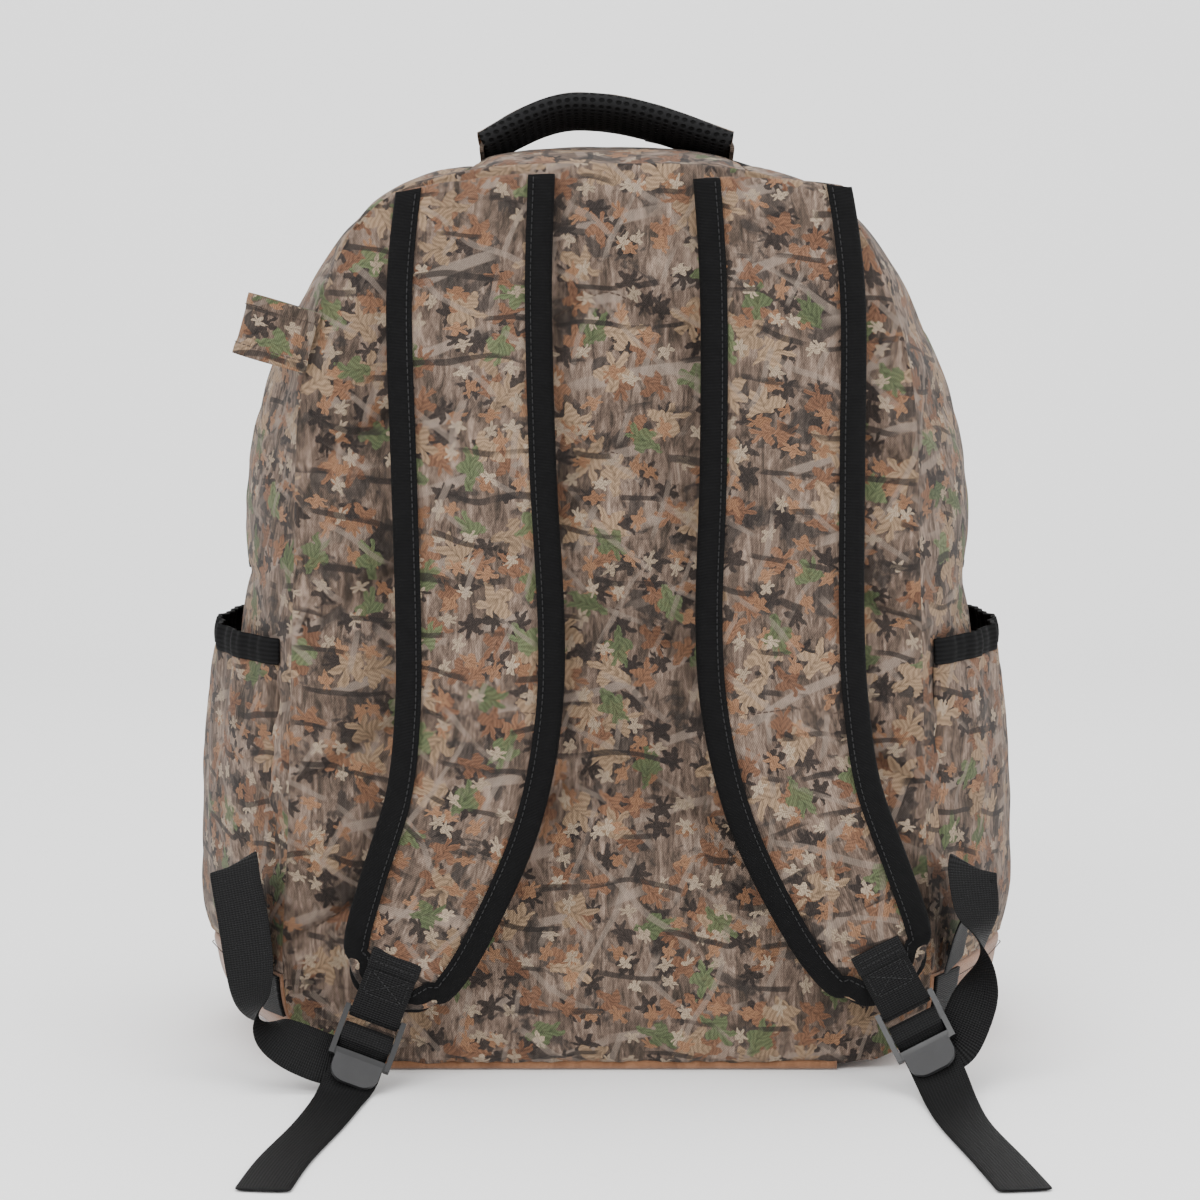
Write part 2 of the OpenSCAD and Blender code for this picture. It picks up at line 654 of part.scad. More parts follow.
adjuster(right);  // adjuster_right
strap_cover(left);  // strap_cover_left
strap_foam(left);  // strap_foam_left
strap_mesh(left);  // strap_mesh_left
strap_binding(left);  // strap_binding_left
strap_tab(left);  // strap_tab_left
strap_cover(right);  // strap_cover_right
strap_foam(right);  // strap_foam_right
strap_mesh(right);  // strap_mesh_right
strap_binding(right);  // strap_binding_right
strap_tab(right);  // strap_tab_right
buckle(left);  // buckle_left
buckle(right);  // buckle_right
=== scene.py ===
"""Camouflage backpack seen from its back panel: the looks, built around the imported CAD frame."""
import math

import bmesh
import bpy
import numpy as np
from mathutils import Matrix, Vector, noise


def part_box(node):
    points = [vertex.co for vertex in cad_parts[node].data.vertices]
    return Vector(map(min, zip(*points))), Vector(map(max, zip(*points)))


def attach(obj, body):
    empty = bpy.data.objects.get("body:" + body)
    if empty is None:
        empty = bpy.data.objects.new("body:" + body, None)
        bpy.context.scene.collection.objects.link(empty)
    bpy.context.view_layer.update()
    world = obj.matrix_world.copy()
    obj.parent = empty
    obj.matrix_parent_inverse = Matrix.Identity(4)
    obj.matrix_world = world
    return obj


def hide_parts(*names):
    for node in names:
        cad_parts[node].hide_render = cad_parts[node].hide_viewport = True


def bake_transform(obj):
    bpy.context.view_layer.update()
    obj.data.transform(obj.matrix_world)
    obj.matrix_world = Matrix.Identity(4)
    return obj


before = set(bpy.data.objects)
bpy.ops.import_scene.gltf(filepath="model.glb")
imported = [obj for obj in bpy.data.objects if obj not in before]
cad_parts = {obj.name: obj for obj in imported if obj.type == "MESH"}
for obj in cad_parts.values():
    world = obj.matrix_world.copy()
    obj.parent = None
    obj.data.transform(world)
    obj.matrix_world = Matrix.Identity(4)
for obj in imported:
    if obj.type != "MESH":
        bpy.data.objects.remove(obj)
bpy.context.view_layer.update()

MM = 0.001
LEFT, RIGHT = -1, 1
SIDE_NAME = {LEFT: "left", RIGHT: "right"}

# Driving dimensions of the body, in millimetres, as the CAD frame has them
BACK_Y, FRONT_Y = -95.0, 92.0
ZIP_R, ZIP_Z, ZIP_Y = 186.0, 268.0, 10.0
BASE_ROW, BOOT_ROW, ZIP_ROW, STRIP_ROW, TOP_ROW = 1, 3, 5, 8, 9
SEAM_ROWS = np.array([[0, 3], [112, 3], [149, 15], [160, 46], [157, 120],
                      [153, 240], [147, 345], [119, 417], [70, 441], [0, 445]], float)
FRONT_ROWS = np.array([[0, 3], [110, 3], [150, 15], [166, 46], [166, 120],
                       [158, 240], [147, 338], [112, 402], [64, 430], [0, 438]], float)
LOW_ROWS = [[0, 0], [122, 0], [186, 6], [207, 46], [200, 120]]
ZIP_ANGLES = np.array([-9, 24, 49.5, 71.5, 90], float)
SWELL_ROWS = np.array([0, 0, 2, 4, 7, 9, 6, 5, 4, 3], float)
FRONT_Y_ROWS = np.array([92, 92, 92, 92, 92, 92, 86, 74, 64, 60], float)
ZIP_GAP = 5.1


# ---------------------------------------------------------------- curves and surfaces

def spline(p0, p1, p2, p3, t):
    """Catmull-Rom curve between p1 and p2."""
    return 0.5 * (2 * p1 + (p2 - p0) * t + (2 * p0 - 5 * p1 + 4 * p2 - p3) * t ** 2
                  + (3 * p1 - p0 - 3 * p2 + p3) * t ** 3)


def along(rows, t):
    """Smooth value at place t of a list of values or points."""
    rows = np.asarray(rows, float)
    t = np.asarray(t, float)
    last = len(rows) - 1
    i = np.clip(np.floor(t).astype(int), 0, last - 1)
    f = t - i
    if rows.ndim > 1:
        f = f[..., None]
    pick = [rows[np.clip(i + k, 0, last)] for k in (-1, 0, 1, 2)]
    return spline(*pick, f)


def outline(rows, u):
    """Point of a half outline that goes on past its last row as its own mirror image."""
    rows = np.asarray(rows, float)
    last = len(rows) - 1
    u = np.asarray(u, float)
    i = np.floor(u).astype(int)

    def pick(k):
        beyond = k > last
        below = k < 0
        j = np.where(beyond, 2 * last - k, np.abs(k))
        point = rows[np.clip(j, 0, last)].copy()
        point[..., 0] *= np.where(beyond | below, -1, 1)
        return point
    return spline(pick(i - 1), pick(i), pick(i + 1), pick(i + 2), (u - i)[..., None])


def folded(u):
    return np.where(u > TOP_ROW, 2 * TOP_ROW - u, u)


def zip_line(u):
    """The zip's outline: a spline up to the zip's end, then a true arc."""
    f = folded(u)
    ends = [[ZIP_R * math.cos(math.radians(a)), ZIP_Z + ZIP_R * math.sin(math.radians(a))]
            for a in ZIP_ANGLES[:2]]
    low = outline(np.array(LOW_ROWS + ends), np.minimum(f, ZIP_ROW))
    a = np.radians(along(ZIP_ANGLES, np.maximum(f - ZIP_ROW, 0)))
    sign = np.where(u > TOP_ROW, -1, 1)
    arc = np.stack([sign * ZIP_R * np.cos(a), ZIP_Z + ZIP_R * np.sin(a)], -1)
    return np.where((f < ZIP_ROW)[..., None], low, arc)


def unit(v):
    return v / np.maximum(np.linalg.norm(v, axis=-1, keepdims=True), 1e-9)


def skin(u, y):
    """The body's fabric surface at outline row u and depth y."""
    u, y = np.broadcast_arrays(np.asarray(u, float), np.asarray(y, float))
    rear = y < ZIP_Y
    depth = along(FRONT_Y_ROWS, folded(u))
    v = np.where(rear, (y - BACK_Y) / (ZIP_Y - BACK_Y), (y - ZIP_Y) / (depth - ZIP_Y))[..., None]
    zip_points = zip_line(u)
    a = np.where(rear[..., None], outline(SEAM_ROWS, u), zip_points)
    b = np.where(rear[..., None], zip_points, outline(FRONT_ROWS, u))
    step = outline(FRONT_ROWS, u + 0.05) - outline(FRONT_ROWS, u - 0.05)
    out = unit(np.stack([step[..., 1], -step[..., 0]], -1))
    p = a + (b - a) * v + along(SWELL_ROWS, folded(u))[..., None] * np.sin(math.pi * v) * out
    return np.stack([p[..., 0], y, p[..., 1]], -1)


def normals_of(points):
    """Outward directions of a grid whose rows run up the outline and whose columns run forward."""
    du = np.gradient(points, axis=0)
    dv = np.gradient(points, axis=1)
    return unit(np.cross(dv, du))


def mirrored(points, side):
    """The grid on the asked side; its columns are turned round so that it keeps facing outward."""
    if side == RIGHT:
        return points
    flipped = points[:, ::-1].copy()
    flipped[..., 0] *= -1
    return flipped


def noise_at(points, scale, seed):
    """Smooth noise, about -1 to 1, at each point (mm) of a grid."""
    shift = Vector((seed * 17.3, seed * 5.1, seed * 9.7))
    flat = points.reshape(-1, 3) / scale
    return np.array([noise.noise(Vector(p) + shift) for p in flat]).reshape(points.shape[:-1])


# ---------------------------------------------------------------- meshes

def mesh_piece(name, verts, faces, uvs=None):
    """A smooth-shaded object from vertices (mm), faces and one UV (mm) for each vertex."""
    mesh = bpy.data.meshes.new(name)
    mesh.from_pydata((np.asarray(verts, float) * MM).tolist(), [], [tuple(int(i) for i in f) for f in faces])
    if uvs is not None:
        layer = mesh.uv_layers.new(name="UVMap")
        index = np.empty(len(mesh.loops), dtype=np.int32)
        mesh.loops.foreach_get("vertex_index", index)
        layer.data.foreach_set("uv", (np.asarray(uvs, float)[index] * MM).ravel())
    mesh.polygons.foreach_set("use_smooth", [True] * len(mesh.polygons))
    mesh.update()
    obj = bpy.data.objects.new(name, mesh)
    bpy.context.scene.collection.objects.link(obj)
    return obj


def grid_uv(points):
    """Lengths along the rows and columns of a grid, so that a weave keeps its scale."""
    across = np.linalg.norm(np.diff(points, axis=1), axis=-1)
    up = np.linalg.norm(np.diff(points, axis=0), axis=-1)
    u = np.concatenate([np.zeros((len(points), 1)), np.cumsum(across, axis=1)], axis=1)
    u -= u[:, -1:] / 2
    v = np.concatenate([[0], np.cumsum(up.mean(axis=1))])
    return np.stack([u, np.repeat(v[:, None], points.shape[1], axis=1)], -1)


def grid_faces(rows, cols, wrap=False):
    """Quads of a grid; with wrap the last column joins the first."""
    i, j = np.meshgrid(np.arange(rows - 1), np.arange(cols if wrap else cols - 1), indexing="ij")
    k = (j + 1) % cols
    a, b, c, d = i * cols + j, i * cols + k, (i + 1) * cols + k, (i + 1) * cols + j
    return np.stack([a, b, c, d], -1).reshape(-1, 4)


def grid_piece(name, points, uv=None, wrap=False):
    rows, cols = points.shape[:2]
    uv = grid_uv(points) if uv is None else uv
    return mesh_piece(name, points.reshape(-1, 3), grid_faces(rows, cols, wrap), uv.reshape(-1, 2))


def apply_modifiers(obj):
    depsgraph = bpy.context.evaluated_depsgraph_get()
    depsgraph.update()
    mesh = bpy.data.meshes.new_from_object(obj.evaluated_get(depsgraph))
    obj.modifiers.clear()
    old = obj.data
    obj.data = mesh
    bpy.data.meshes.remove(old)
    return obj


def subdivide(obj, levels=1):
    modifier = obj.modifiers.new("subdivide", "SUBSURF")
    modifier.levels = modifier.render_levels = levels
    modifier.uv_smooth = "NONE"
    return apply_modifiers(obj)


def thicken(obj, thickness, material, inside=None):
    """Gives a sheet its thickness, inward. inside is the material of its inner face."""
    obj.data.materials.append(material)
    modifier = obj.modifiers.new("thickness", "SOLIDIFY")
    modifier.thickness = thickness * MM
    modifier.offset = -1
    modifier.use_even_offset = False
    if inside:
        obj.data.materials.append(inside)
        modifier.material_offset = 1
    return apply_modifiers(obj)


def inflate(obj, pinned, pressure, slack, cap, frames=16, stiffness=12.0):
    """Cloth simulation with pinned seams: the fabric swells and, being a little too large, wrinkles."""
    mesh = obj.data
    count = len(mesh.vertices)
    start = np.empty(count * 3)
    mesh.vertices.foreach_get("co", start)
    start = start.reshape(-1, 3)
    pins = obj.vertex_groups.new(name="pins")
    levels = np.round(np.asarray(pinned, float) * 8).astype(int)
    for level in range(1, 9):
        chosen = np.flatnonzero(levels == level)
        pins.add([int(i) for i in chosen], level / 8, "REPLACE")
    cloth = obj.modifiers.new("cloth", "CLOTH")
    cloth.settings.vertex_group_mass = "pins"
    cloth.settings.use_pressure = True
    cloth.settings.uniform_pressure_force = pressure
    cloth.settings.shrink_min = -slack
    cloth.settings.tension_stiffness = stiffness
    cloth.settings.compression_stiffness = stiffness
    cloth.settings.bending_stiffness = 0.3
    cloth.settings.effector_weights.gravity = 0
    cloth.collision_settings.use_collision = False
    cloth.point_cache.frame_end = frames
    scene = bpy.context.scene
    for f in range(1, frames + 1):
        scene.frame_set(f)
    evaluated = obj.evaluated_get(bpy.context.evaluated_depsgraph_get())
    moved = np.empty(count * 3)
    evaluated.data.vertices.foreach_get("co", moved)
    shift = moved.reshape(-1, 3) - start
    length = np.linalg.norm(shift, axis=1, keepdims=True)
    limit = cap * MM
    shift *= np.tanh(length / limit) * limit / np.maximum(length, 1e-9)
    obj.modifiers.clear()
    obj.vertex_groups.clear()
    mesh.vertices.foreach_set("co", (start + shift).ravel())
    mesh.update()
    scene.frame_set(1)
    return obj


def edge_pins(rows, cols, extra=None):
    """Pin weights: 1 on the edges of a grid, and extra's weights inside."""
    pinned = np.zeros((rows, cols)) if extra is None else np.array(extra, float)
    pinned[[0, -1], :] = 1
    pinned[:, [0, -1]] = 1
    return pinned.ravel()


def finish_piece(obj, material, body, replaces=()):
    """Gives a piece its material and body, and hides the CAD nodes it stands for. A blended piece has no body."""
    if len(obj.data.materials) == 0:
        obj.data.materials.append(material)
    else:
        obj.data.materials[0] = material
    if body:
        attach(obj, body)
    if replaces:
        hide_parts(*replaces)
    return obj


# ---------------------------------------------------------------- materials

class Graph:
    """A material's node graph, with short calls for the nodes that the fabrics use."""

    def __init__(self, name):
        self.material = bpy.data.materials.new(name)
        self.material.use_nodes = True
        self.tree = self.material.node_tree
        self.tree.nodes.clear()
        self.output = self.tree.nodes.new("ShaderNodeOutputMaterial")
        self.shader = self.tree.nodes.new("ShaderNodeBsdfPrincipled")
        self.tree.links.new(self.shader.outputs[0], self.output.inputs[0])

    def node(self, kind, inputs=None, **settings):
        node = self.tree.nodes.new(kind)
        for key, value in settings.items():
            setattr(node, key, value)
        for key, value in (inputs or {}).items():
            self.put(node.inputs[key], value)
        return node

    def put(self, socket, value):
        if hasattr(value, "is_output"):
            self.tree.links.new(value, socket)
        else:
            socket.default_value = value

    def math(self, operation, a, b=0.0, clamp=False):
        node = self.node("ShaderNodeMath", {0: a, 1: b}, operation=operation, use_clamp=clamp)
        return node.outputs[0]

    def vector(self, operation, a, b=(0, 0, 0)):
        return self.node("ShaderNodeVectorMath", {0: a, 1: b}, operation=operation).outputs[0]

    def step(self, value, low, high):
        """0 below low and 1 above high, smooth between them."""
        node = self.node("ShaderNodeMapRange", {"Value": value, "From Min": low, "From Max": high},
                         interpolation_type="SMOOTHSTEP")
        return node.outputs[0]

    def noise(self, vector, scale, detail=3.0, rough=0.55, distortion=0.0):
        node = self.node("ShaderNodeTexNoise", {"Vector": vector, "Scale": scale, "Detail": detail,
                                                "Roughness": rough, "Distortion": distortion})
        return node.outputs["Fac"]

    def mix(self, factor, a, b):
        node = self.node("ShaderNodeMix", {"Factor": factor, 6: a, 7: b}, data_type="RGBA")
        return node.outputs[2]

    def tint(self, factor, a, b):
        node = self.node("ShaderNodeMix", {"Factor": factor, 6: a, 7: b}, data_type="RGBA", blend_type="MULTIPLY")
        return node.outputs[2]

    def ramp(self, value, stops):
        node = self.node("ShaderNodeValToRGB", {0: value})
        elements = node.color_ramp.elements
        while len(elements) < len(stops):
            elements.new(0.5)
        for element, (place, color) in zip(elements, stops):
            element.position = place
            element.color = (*color, 1)
        return node.outputs[0]

    def uv(self, scale=1.0, shift=(0, 0, 0), stretch=(1, 1, 1), turn=0.0):
        """The piece's own cloth coordinates in millimetres."""
        coordinates = self.node("ShaderNodeUVMap", uv_map="UVMap").outputs[0]
        size = [1000 * scale * s for s in stretch]
        node = self.node("ShaderNodeMapping", {"Vector": coordinates, "Location": shift,
                                               "Rotation": (0, 0, math.radians(turn)), "Scale": size})
        return node.outputs[0]

    def bump(self, height, distance, strength=1.0, normal=None):
        node = self.node("ShaderNodeBump", {"Height": height, "Distance": distance, "Strength": strength})
        if normal is not None:
            self.put(node.inputs["Normal"], normal)
        return node.outputs[0]

    def surface(self, color, roughness, normal=None, sheen=0.0, specular=0.5):
        self.put(self.shader.inputs["Base Color"], color)
        self.put(self.shader.inputs["Roughness"], roughness)
        self.shader.inputs["Sheen Weight"].default_value = sheen
        self.shader.inputs["Specular IOR Level"].default_value = specular
        if normal is not None:
            self.put(self.shader.inputs["Normal"], normal)
        return self.material


def twill(g, pitch=0.85):
    """Height of a fine diagonal twill, with the weft crossing it."""
    diagonal = g.node("ShaderNodeTexWave", {"Vector": g.uv(turn=38), "Scale": 0.314 / pitch, "Distortion": 0.6,
                                            "Detail": 1.0, "Detail Scale": 2.0}).outputs["Fac"]
    cross = g.node("ShaderNodeTexWave", {"Vector": g.uv(turn=-52), "Scale": 0.314 / (0.7 * pitch), "Distortion": 0.4,
                                         "Detail": 1.0, "Detail Scale": 2.0}).outputs["Fac"]
    return g.math("ADD", g.math("MULTIPLY", diagonal, 0.7), g.math("MULTIPLY", cross, 0.3))


def leaves(g, seed, cell, size, slim, lobes, depth, share):
    """Mask and own random colour of leaves scattered one to a cell: a lobed outline round the cell's point."""
    place = g.uv(1 / cell, shift=(seed * 3.7, seed * 7.3, 0))
    wobble = g.node("ShaderNodeTexNoise", {"Vector": place, "Scale": 4.0, "Detail": 2.0}).outputs["Color"]
    wobbled = g.vector("ADD", place, g.vector("MULTIPLY", g.vector("SUBTRACT", wobble, (0.5, 0.5, 0.5)),
                                              (0.24, 0.24, 0)))
    cells = g.node("ShaderNodeTexVoronoi", {"Vector": wobbled, "Scale": 1.0, "Randomness": 0.95},
                   voronoi_dimensions="2D")
    random = g.node("ShaderNodeSeparateColor", {0: cells.outputs["Color"]})
    local = g.vector("SUBTRACT", wobbled, cells.outputs["Position"])
    turned = g.node("ShaderNodeVectorRotate", {"Vector": local, "Angle": g.math("MULTIPLY", random.outputs[0], 6.283)},
                    rotation_type="Z_AXIS").outputs[0]
    xy = g.node("ShaderNodeSeparateXYZ", {0: turned})
    x = xy.outputs[0]
    y = g.math("MULTIPLY", xy.outputs[1], slim)
    angle = g.math("ARCTAN2", y, x)
    radius = g.math("SQRT", g.math("ADD", g.math("MULTIPLY", x, x), g.math("MULTIPLY", y, y)))
    lobe = g.math("POWER", g.math("ABSOLUTE", g.math("COSINE", g.math("MULTIPLY", angle, lobes / 2))), 1.8)
    ragged = g.math("MULTIPLY", g.math("SUBTRACT", g.noise(place, 13.0, 3.0, 0.7), 0.5), 0.55 * size)
    tip = g.math("MULTIPLY", g.math("COSINE", angle), 0.18)
    edge = g.math("ADD", g.math("MULTIPLY", g.math("ADD", g.math("MULTIPLY", lobe, depth), 1 - depth), size),
                  g.math("ADD", g.math("MULTIPLY", tip, size), ragged))
    inside = g.step(g.math("SUBTRACT", edge, radius), 0.0, 0.03)
    kept = g.math("LESS_THAN", random.outputs[1], share)
    vein = g.step(g.math("ABSOLUTE", y), 0.0, 0.035)
    ribs = g.math("SINE", g.math("MULTIPLY", g.math("ADD", x, g.math("ABSOLUTE", y)), 42))
    ribs = g.math("ADD", g.math("MULTIPLY", ribs, 0.18), 0.82)
    shade = g.math("MULTIPLY", g.math("ADD", g.math("MULTIPLY", vein, 0.35), 0.65), ribs)
    return g.math("MULTIPLY", inside, kept), shade, random.outputs[2]


def twigs(g, seed, spacing, width, turn, bend=3.0):
    """Mask of thin bending lines, running mostly one way and broken into lengths."""
    place = g.uv(1 / spacing, shift=(seed * 1.9, seed * 4.1, 0), turn=turn)
    wave = g.node("ShaderNodeTexWave", {"Vector": place, "Scale": 0.31, "Distortion": bend, "Detail": 2.0,
                                        "Detail Scale": 0.8, "Detail Roughness": 0.6}).outputs["Fac"]
    line = g.step(wave, 1 - width, 1 - 0.4 * width)
    gaps = g.step(g.noise(place, 0.9, 1.0), 0.46, 0.56)
    return g.math("MULTIPLY", line, gaps)


def camo_cloth(name="camo_twill", shift=0.0):
    """Printed polyester twill: bark, twigs and fallen leaves, a generic woodland print, with painted shade in the
    twill's grooves.
    """
    g = Graph(name)
    seed = shift
    streaks = g.noise(g.uv(stretch=(0.16, 0.035, 1), shift=(seed, seed, 0), turn=8), 1.0, 6.0, 0.68, 1.2)
    patches = g.noise(g.uv(0.028, shift=(seed * 2, 0, 0)), 1.0, 3.0, 0.6, 0.8)
    bark = g.ramp(g.math("ADD", g.math("MULTIPLY", streaks, 0.72), g.math("MULTIPLY", patches, 0.36)),
                  [(0.34, (0.022, 0.018, 0.015)), (0.45, (0.070, 0.052, 0.040)), (0.54, (0.155, 0.110, 0.085)),
                   (0.64, (0.290, 0.215, 0.170)), (0.76, (0.430, 0.340, 0.270))])
    shadow = g.step(g.noise(g.uv(0.05, shift=(0, seed * 5, 0)), 1.0, 4.0, 0.62, 0.5), 0.53, 0.60)
    color = g.mix(g.math("MULTIPLY", shadow, 0.82), bark, (0.040, 0.034, 0.031, 1))
    grain = g.noise(g.uv(0.55, stretch=(1, 0.3, 1)), 1.0, 4.0, 0.7)
    color = g.tint(0.85, color, g.ramp(grain, [(0.3, (0.38, 0.35, 0.33)), (0.7, (1.42, 1.38, 1.34))]))
    layers = (
        # seed, cell, size, slimness, lobes, lobe depth, share, colours from dark to light
        (1, 17, 0.46, 1.3, 6, 0.55, 0.66, ((0.016, 0.012, 0.011), (0.048, 0.036, 0.031))),
        (2, 20, 0.48, 1.4, 5, 0.60, 0.60, ((0.110, 0.048, 0.028), (0.290, 0.145, 0.080))),
        (3, 24, 0.50, 1.2, 5, 0.62, 0.46, ((0.230, 0.150, 0.090), (0.430, 0.290, 0.180))),
        (4, 15, 0.42, 1.7, 5, 0.55, 0.42, ((0.200, 0.090, 0.045), (0.390, 0.210, 0.115))),
        (5, 27, 0.42, 1.6, 5, 0.50, 0.34, ((0.055, 0.075, 0.032), (0.165, 0.200, 0.095))),
        (6, 13, 0.40, 1.5, 5, 0.60, 0.34, ((0.300, 0.220, 0.150), (0.540, 0.420, 0.300))),
    )
    pale = twigs(g, 1 + seed, 34, 0.07, 72)
    color = g.mix(g.math("MULTIPLY", pale, 0.55), color, (0.330, 0.255, 0.205, 1))
    for layer, cell, size, slim, lobes, depth, share, (dark, light) in layers:
        mask, shade, random = leaves(g, layer + seed, cell, size, slim, lobes, depth, share)
        mottle = g.math("ADD", g.math("MULTIPLY", random, 0.5), g.math("MULTIPLY", grain, 0.7), clamp=True)
        leaf = g.mix(mottle, (*dark, 1), (*light, 1))
        shaded = g.node("ShaderNodeVectorMath", {0: leaf, "Scale": shade}, operation="SCALE").outputs[0]
        color = g.mix(g.math("MULTIPLY", mask, 0.92), color, shaded)
    for n, (turn_twig, tone) in enumerate(((20, 0.45), (128, 0.40))):
        line = twigs(g, 5 + n + seed, 27, 0.035, turn_twig, 4.5)
        color = g.mix(g.math("MULTIPLY", line, tone), color, (0.300, 0.235, 0.190, 1))
    dark_line = twigs(g, 9 + seed, 21, 0.06, 95, 5.0)
    color = g.mix(g.math("MULTIPLY", dark_line, 0.8), color, (0.024, 0.019, 0.017, 1))
    weave = twill(g)
    # Partly painted shade: the print is darker where the twill's threads lie low and lighter on their ridges,
    # following the bump's height; the ramp's overall level is the print's real darker tone.
    color = g.tint(1.0, color, g.ramp(weave, [(0.15, (0.54, 0.54, 0.54)), (0.85, (0.80, 0.80, 0.80))]))
    roughness = g.math("ADD", g.math("MULTIPLY", weave, -0.1), 0.88)
    normal = g.bump(weave, 0.00022, 0.7)
    return g.surface(color, roughness, normal, sheen=0.05, specular=0.18)


def suede_cloth():
    """Brushed faux suede: short nap with paler rubbed patches."""
    g = Graph("base_suede")
    nap = g.noise(g.uv(0.9), 1.0, 5.0, 0.75)
    brush = g.noise(g.uv(0.045, stretch=(1, 2.2, 1)), 1.0, 3.0, 0.6, 1.0)
    color = g.ramp(g.math("ADD", g.math("MULTIPLY", nap, 0.35), g.math("MULTIPLY", brush, 0.65)),
                   [(0.32, (0.108, 0.047, 0.022)), (0.52, (0.188, 0.088, 0.043)), (0.72, (0.265, 0.137, 0.074))])
    normal = g.bump(nap, 0.0003, 0.8, g.bump(brush, 0.0006, 0.35))
    return g.surface(color, 0.93, normal, sheen=0.35, specular=0.2)


def mesh_cloth():
    """Black spacer mesh: staggered oval holes in a knitted face, pressed in by the bump and painted with shade."""
    g = Graph("spacer_mesh")
    holes = g.node("ShaderNodeTexVoronoi", {"Vector": g.uv(1 / 2.6, stretch=(1.0, 0.62, 1)), "Scale": 1.0,
                                            "Randomness": 0.12}, voronoi_dimensions="2D").outputs["Distance"]
    ring = g.step(holes, 0.16, 0.40)
    fuzz = g.noise(g.uv(2.4), 1.0, 3.0, 0.7)
    # Painted shade: the holes are coloured darker than the knitted face round them, for the shade inside them; fuzz
    # varies the face's tone at random.
    color = g.ramp(g.math("MULTIPLY", ring, g.math("ADD", g.math("MULTIPLY", fuzz, 0.6), 0.6)),
                   [(0.05, (0.0015, 0.0015, 0.0016)), (0.9, (0.0100, 0.0100, 0.0105))])
    normal = g.bump(ring, 0.0011, 1.0, g.bump(fuzz, 0.0002, 0.6))
    return g.surface(color, 0.82, normal, specular=0.12)


def webbing_cloth():
    """Ribbed black webbing: cross ribs, with finer lengthwise warp columns, painted darker in their grooves and paler
    on their tops.
    """
    g = Graph("webbing")
    ribs = g.node("ShaderNodeTexWave", {"Vector": g.uv(), "Scale": 0.314 / 1.1, "Distortion": 0.25,
                                        "Detail": 1.0}, bands_direction="Y").outputs["Fac"]
    warp = g.node("ShaderNodeTexWave", {"Vector": g.uv(), "Scale": 0.314 / 1.5, "Distortion": 0.15,
                                        "Detail": 1.0}, bands_direction="X").outputs["Fac"]
    weave = g.math("ADD", g.math("MULTIPLY", ribs, 0.6), g.math("MULTIPLY", warp, 0.4))
    lint = g.step(g.noise(g.uv(0.8), 1.0, 4.0, 0.8), 0.60, 0.80)
    # Painted shade: the black is darkest in the grooves between the ribs and warp columns and palest on their tops,
    # following the bump's height.
    color = g.ramp(weave, [(0.1, (0.0012, 0.0012, 0.0013)), (0.9, (0.0088, 0.0088, 0.0092))])
    color = g.mix(g.math("MULTIPLY", lint, 0.10), color, (0.03, 0.03, 0.031, 1))
    roughness = g.math("ADD", g.math("MULTIPLY", weave, -0.18), 0.72)
    return g.surface(color, roughness, g.bump(weave, 0.0004, 0.9), specular=0.14)


def binding_cloth(name="grosgrain", rib=0.7):
    """Black grosgrain binding: fine ribs across the tape, with painted shade between them."""
    g = Graph(name)
    ribs = g.node("ShaderNodeTexWave", {"Vector": g.uv(), "Scale": 0.314 / rib, "Distortion": 0.3,
                                        "Detail": 1.0}, bands_direction="Y").outputs["Fac"]
    worn = g.noise(g.uv(0.12), 1.0, 4.0, 0.65)
    # Partly painted shade: half of the tone follows the ribs' height, darker in the grooves between them; the other
    # half is random wear.
    color = g.ramp(g.math("ADD", g.math("MULTIPLY", ribs, 0.5), g.math("MULTIPLY", worn, 0.5)),
                   [(0.2, (0.0010, 0.0010, 0.0011)), (0.8, (0.0052, 0.0052, 0.0055))])
    return g.surface(color, 0.85, g.bump(ribs, 0.00022, 0.8, g.bump(worn, 0.0006, 0.3)), specular=0.12)


def moulded(name, color, roughness, grain=0.25, metallic=0.0):
    """Moulded plastic or painted metal: fine spark-eroded grain, with slightly rubbed patches scattered at random."""
    g = Graph(name)
    place = g.node("ShaderNodeTexCoord").outputs["Object"]
    fine = g.noise(place, 2600.0, 3.0, 0.6)
    broad = g.noise(place, 90.0, 3.0, 0.5)
    tone = g.ramp(broad, [(0.3, tuple(0.8 * c for c in color)), (0.75, tuple(1.25 * c for c in color))])
    rough = g.math("ADD", g.math("MULTIPLY", broad, 0.16), roughness - 0.08)
    g.shader.inputs["Metallic"].default_value = metallic
    return g.surface(tone, rough, g.bump(fine, 0.00008, grain), specular=0.5)


def lining_cloth():
    """Plain woven lining, grey with a faint coating sheen and a little painted shade in its weave."""
    g = Graph("lining")
    warp = g.node("ShaderNodeTexWave", {"Vector": g.uv(), "Scale": 0.6, "Distortion": 0.3}).outputs["Fac"]
    weft = g.node("ShaderNodeTexWave", {"Vector": g.uv(turn=90), "Scale": 0.6, "Distortion": 0.3}).outputs["Fac"]
    weave = g.math("MULTIPLY", warp, weft)
    blotch = g.noise(g.uv(0.02), 1.0, 3.0, 0.6)
    # Partly painted shade: some of the tone follows the weave's height, darker where the threads dip; the rest is
    # random blotching.
    color = g.ramp(g.math("ADD", g.math("MULTIPLY", weave, 0.3), g.math("MULTIPLY", blotch, 0.7)),
                   [(0.2, (0.055, 0.052, 0.050)), (0.8, (0.105, 0.100, 0.095))])
    return g.surface(color, 0.62, g.bump(weave, 0.0002, 0.5), specular=0.4)


def thread(name, color):
    """Sewing thread: a fine twist along the stitch."""
    g = Graph(name)
    fuzz = g.noise(g.node("ShaderNodeTexCoord").outputs["Object"], 3000.0, 2.0, 0.6)
    tone = g.ramp(fuzz, [(0.3, tuple(0.6 * c for c in color)), (0.7, tuple(1.3 * c for c in color))])
    return g.surface(tone, 0.75, g.bump(fuzz, 0.0001, 0.5), sheen=0.1, specular=0.3)


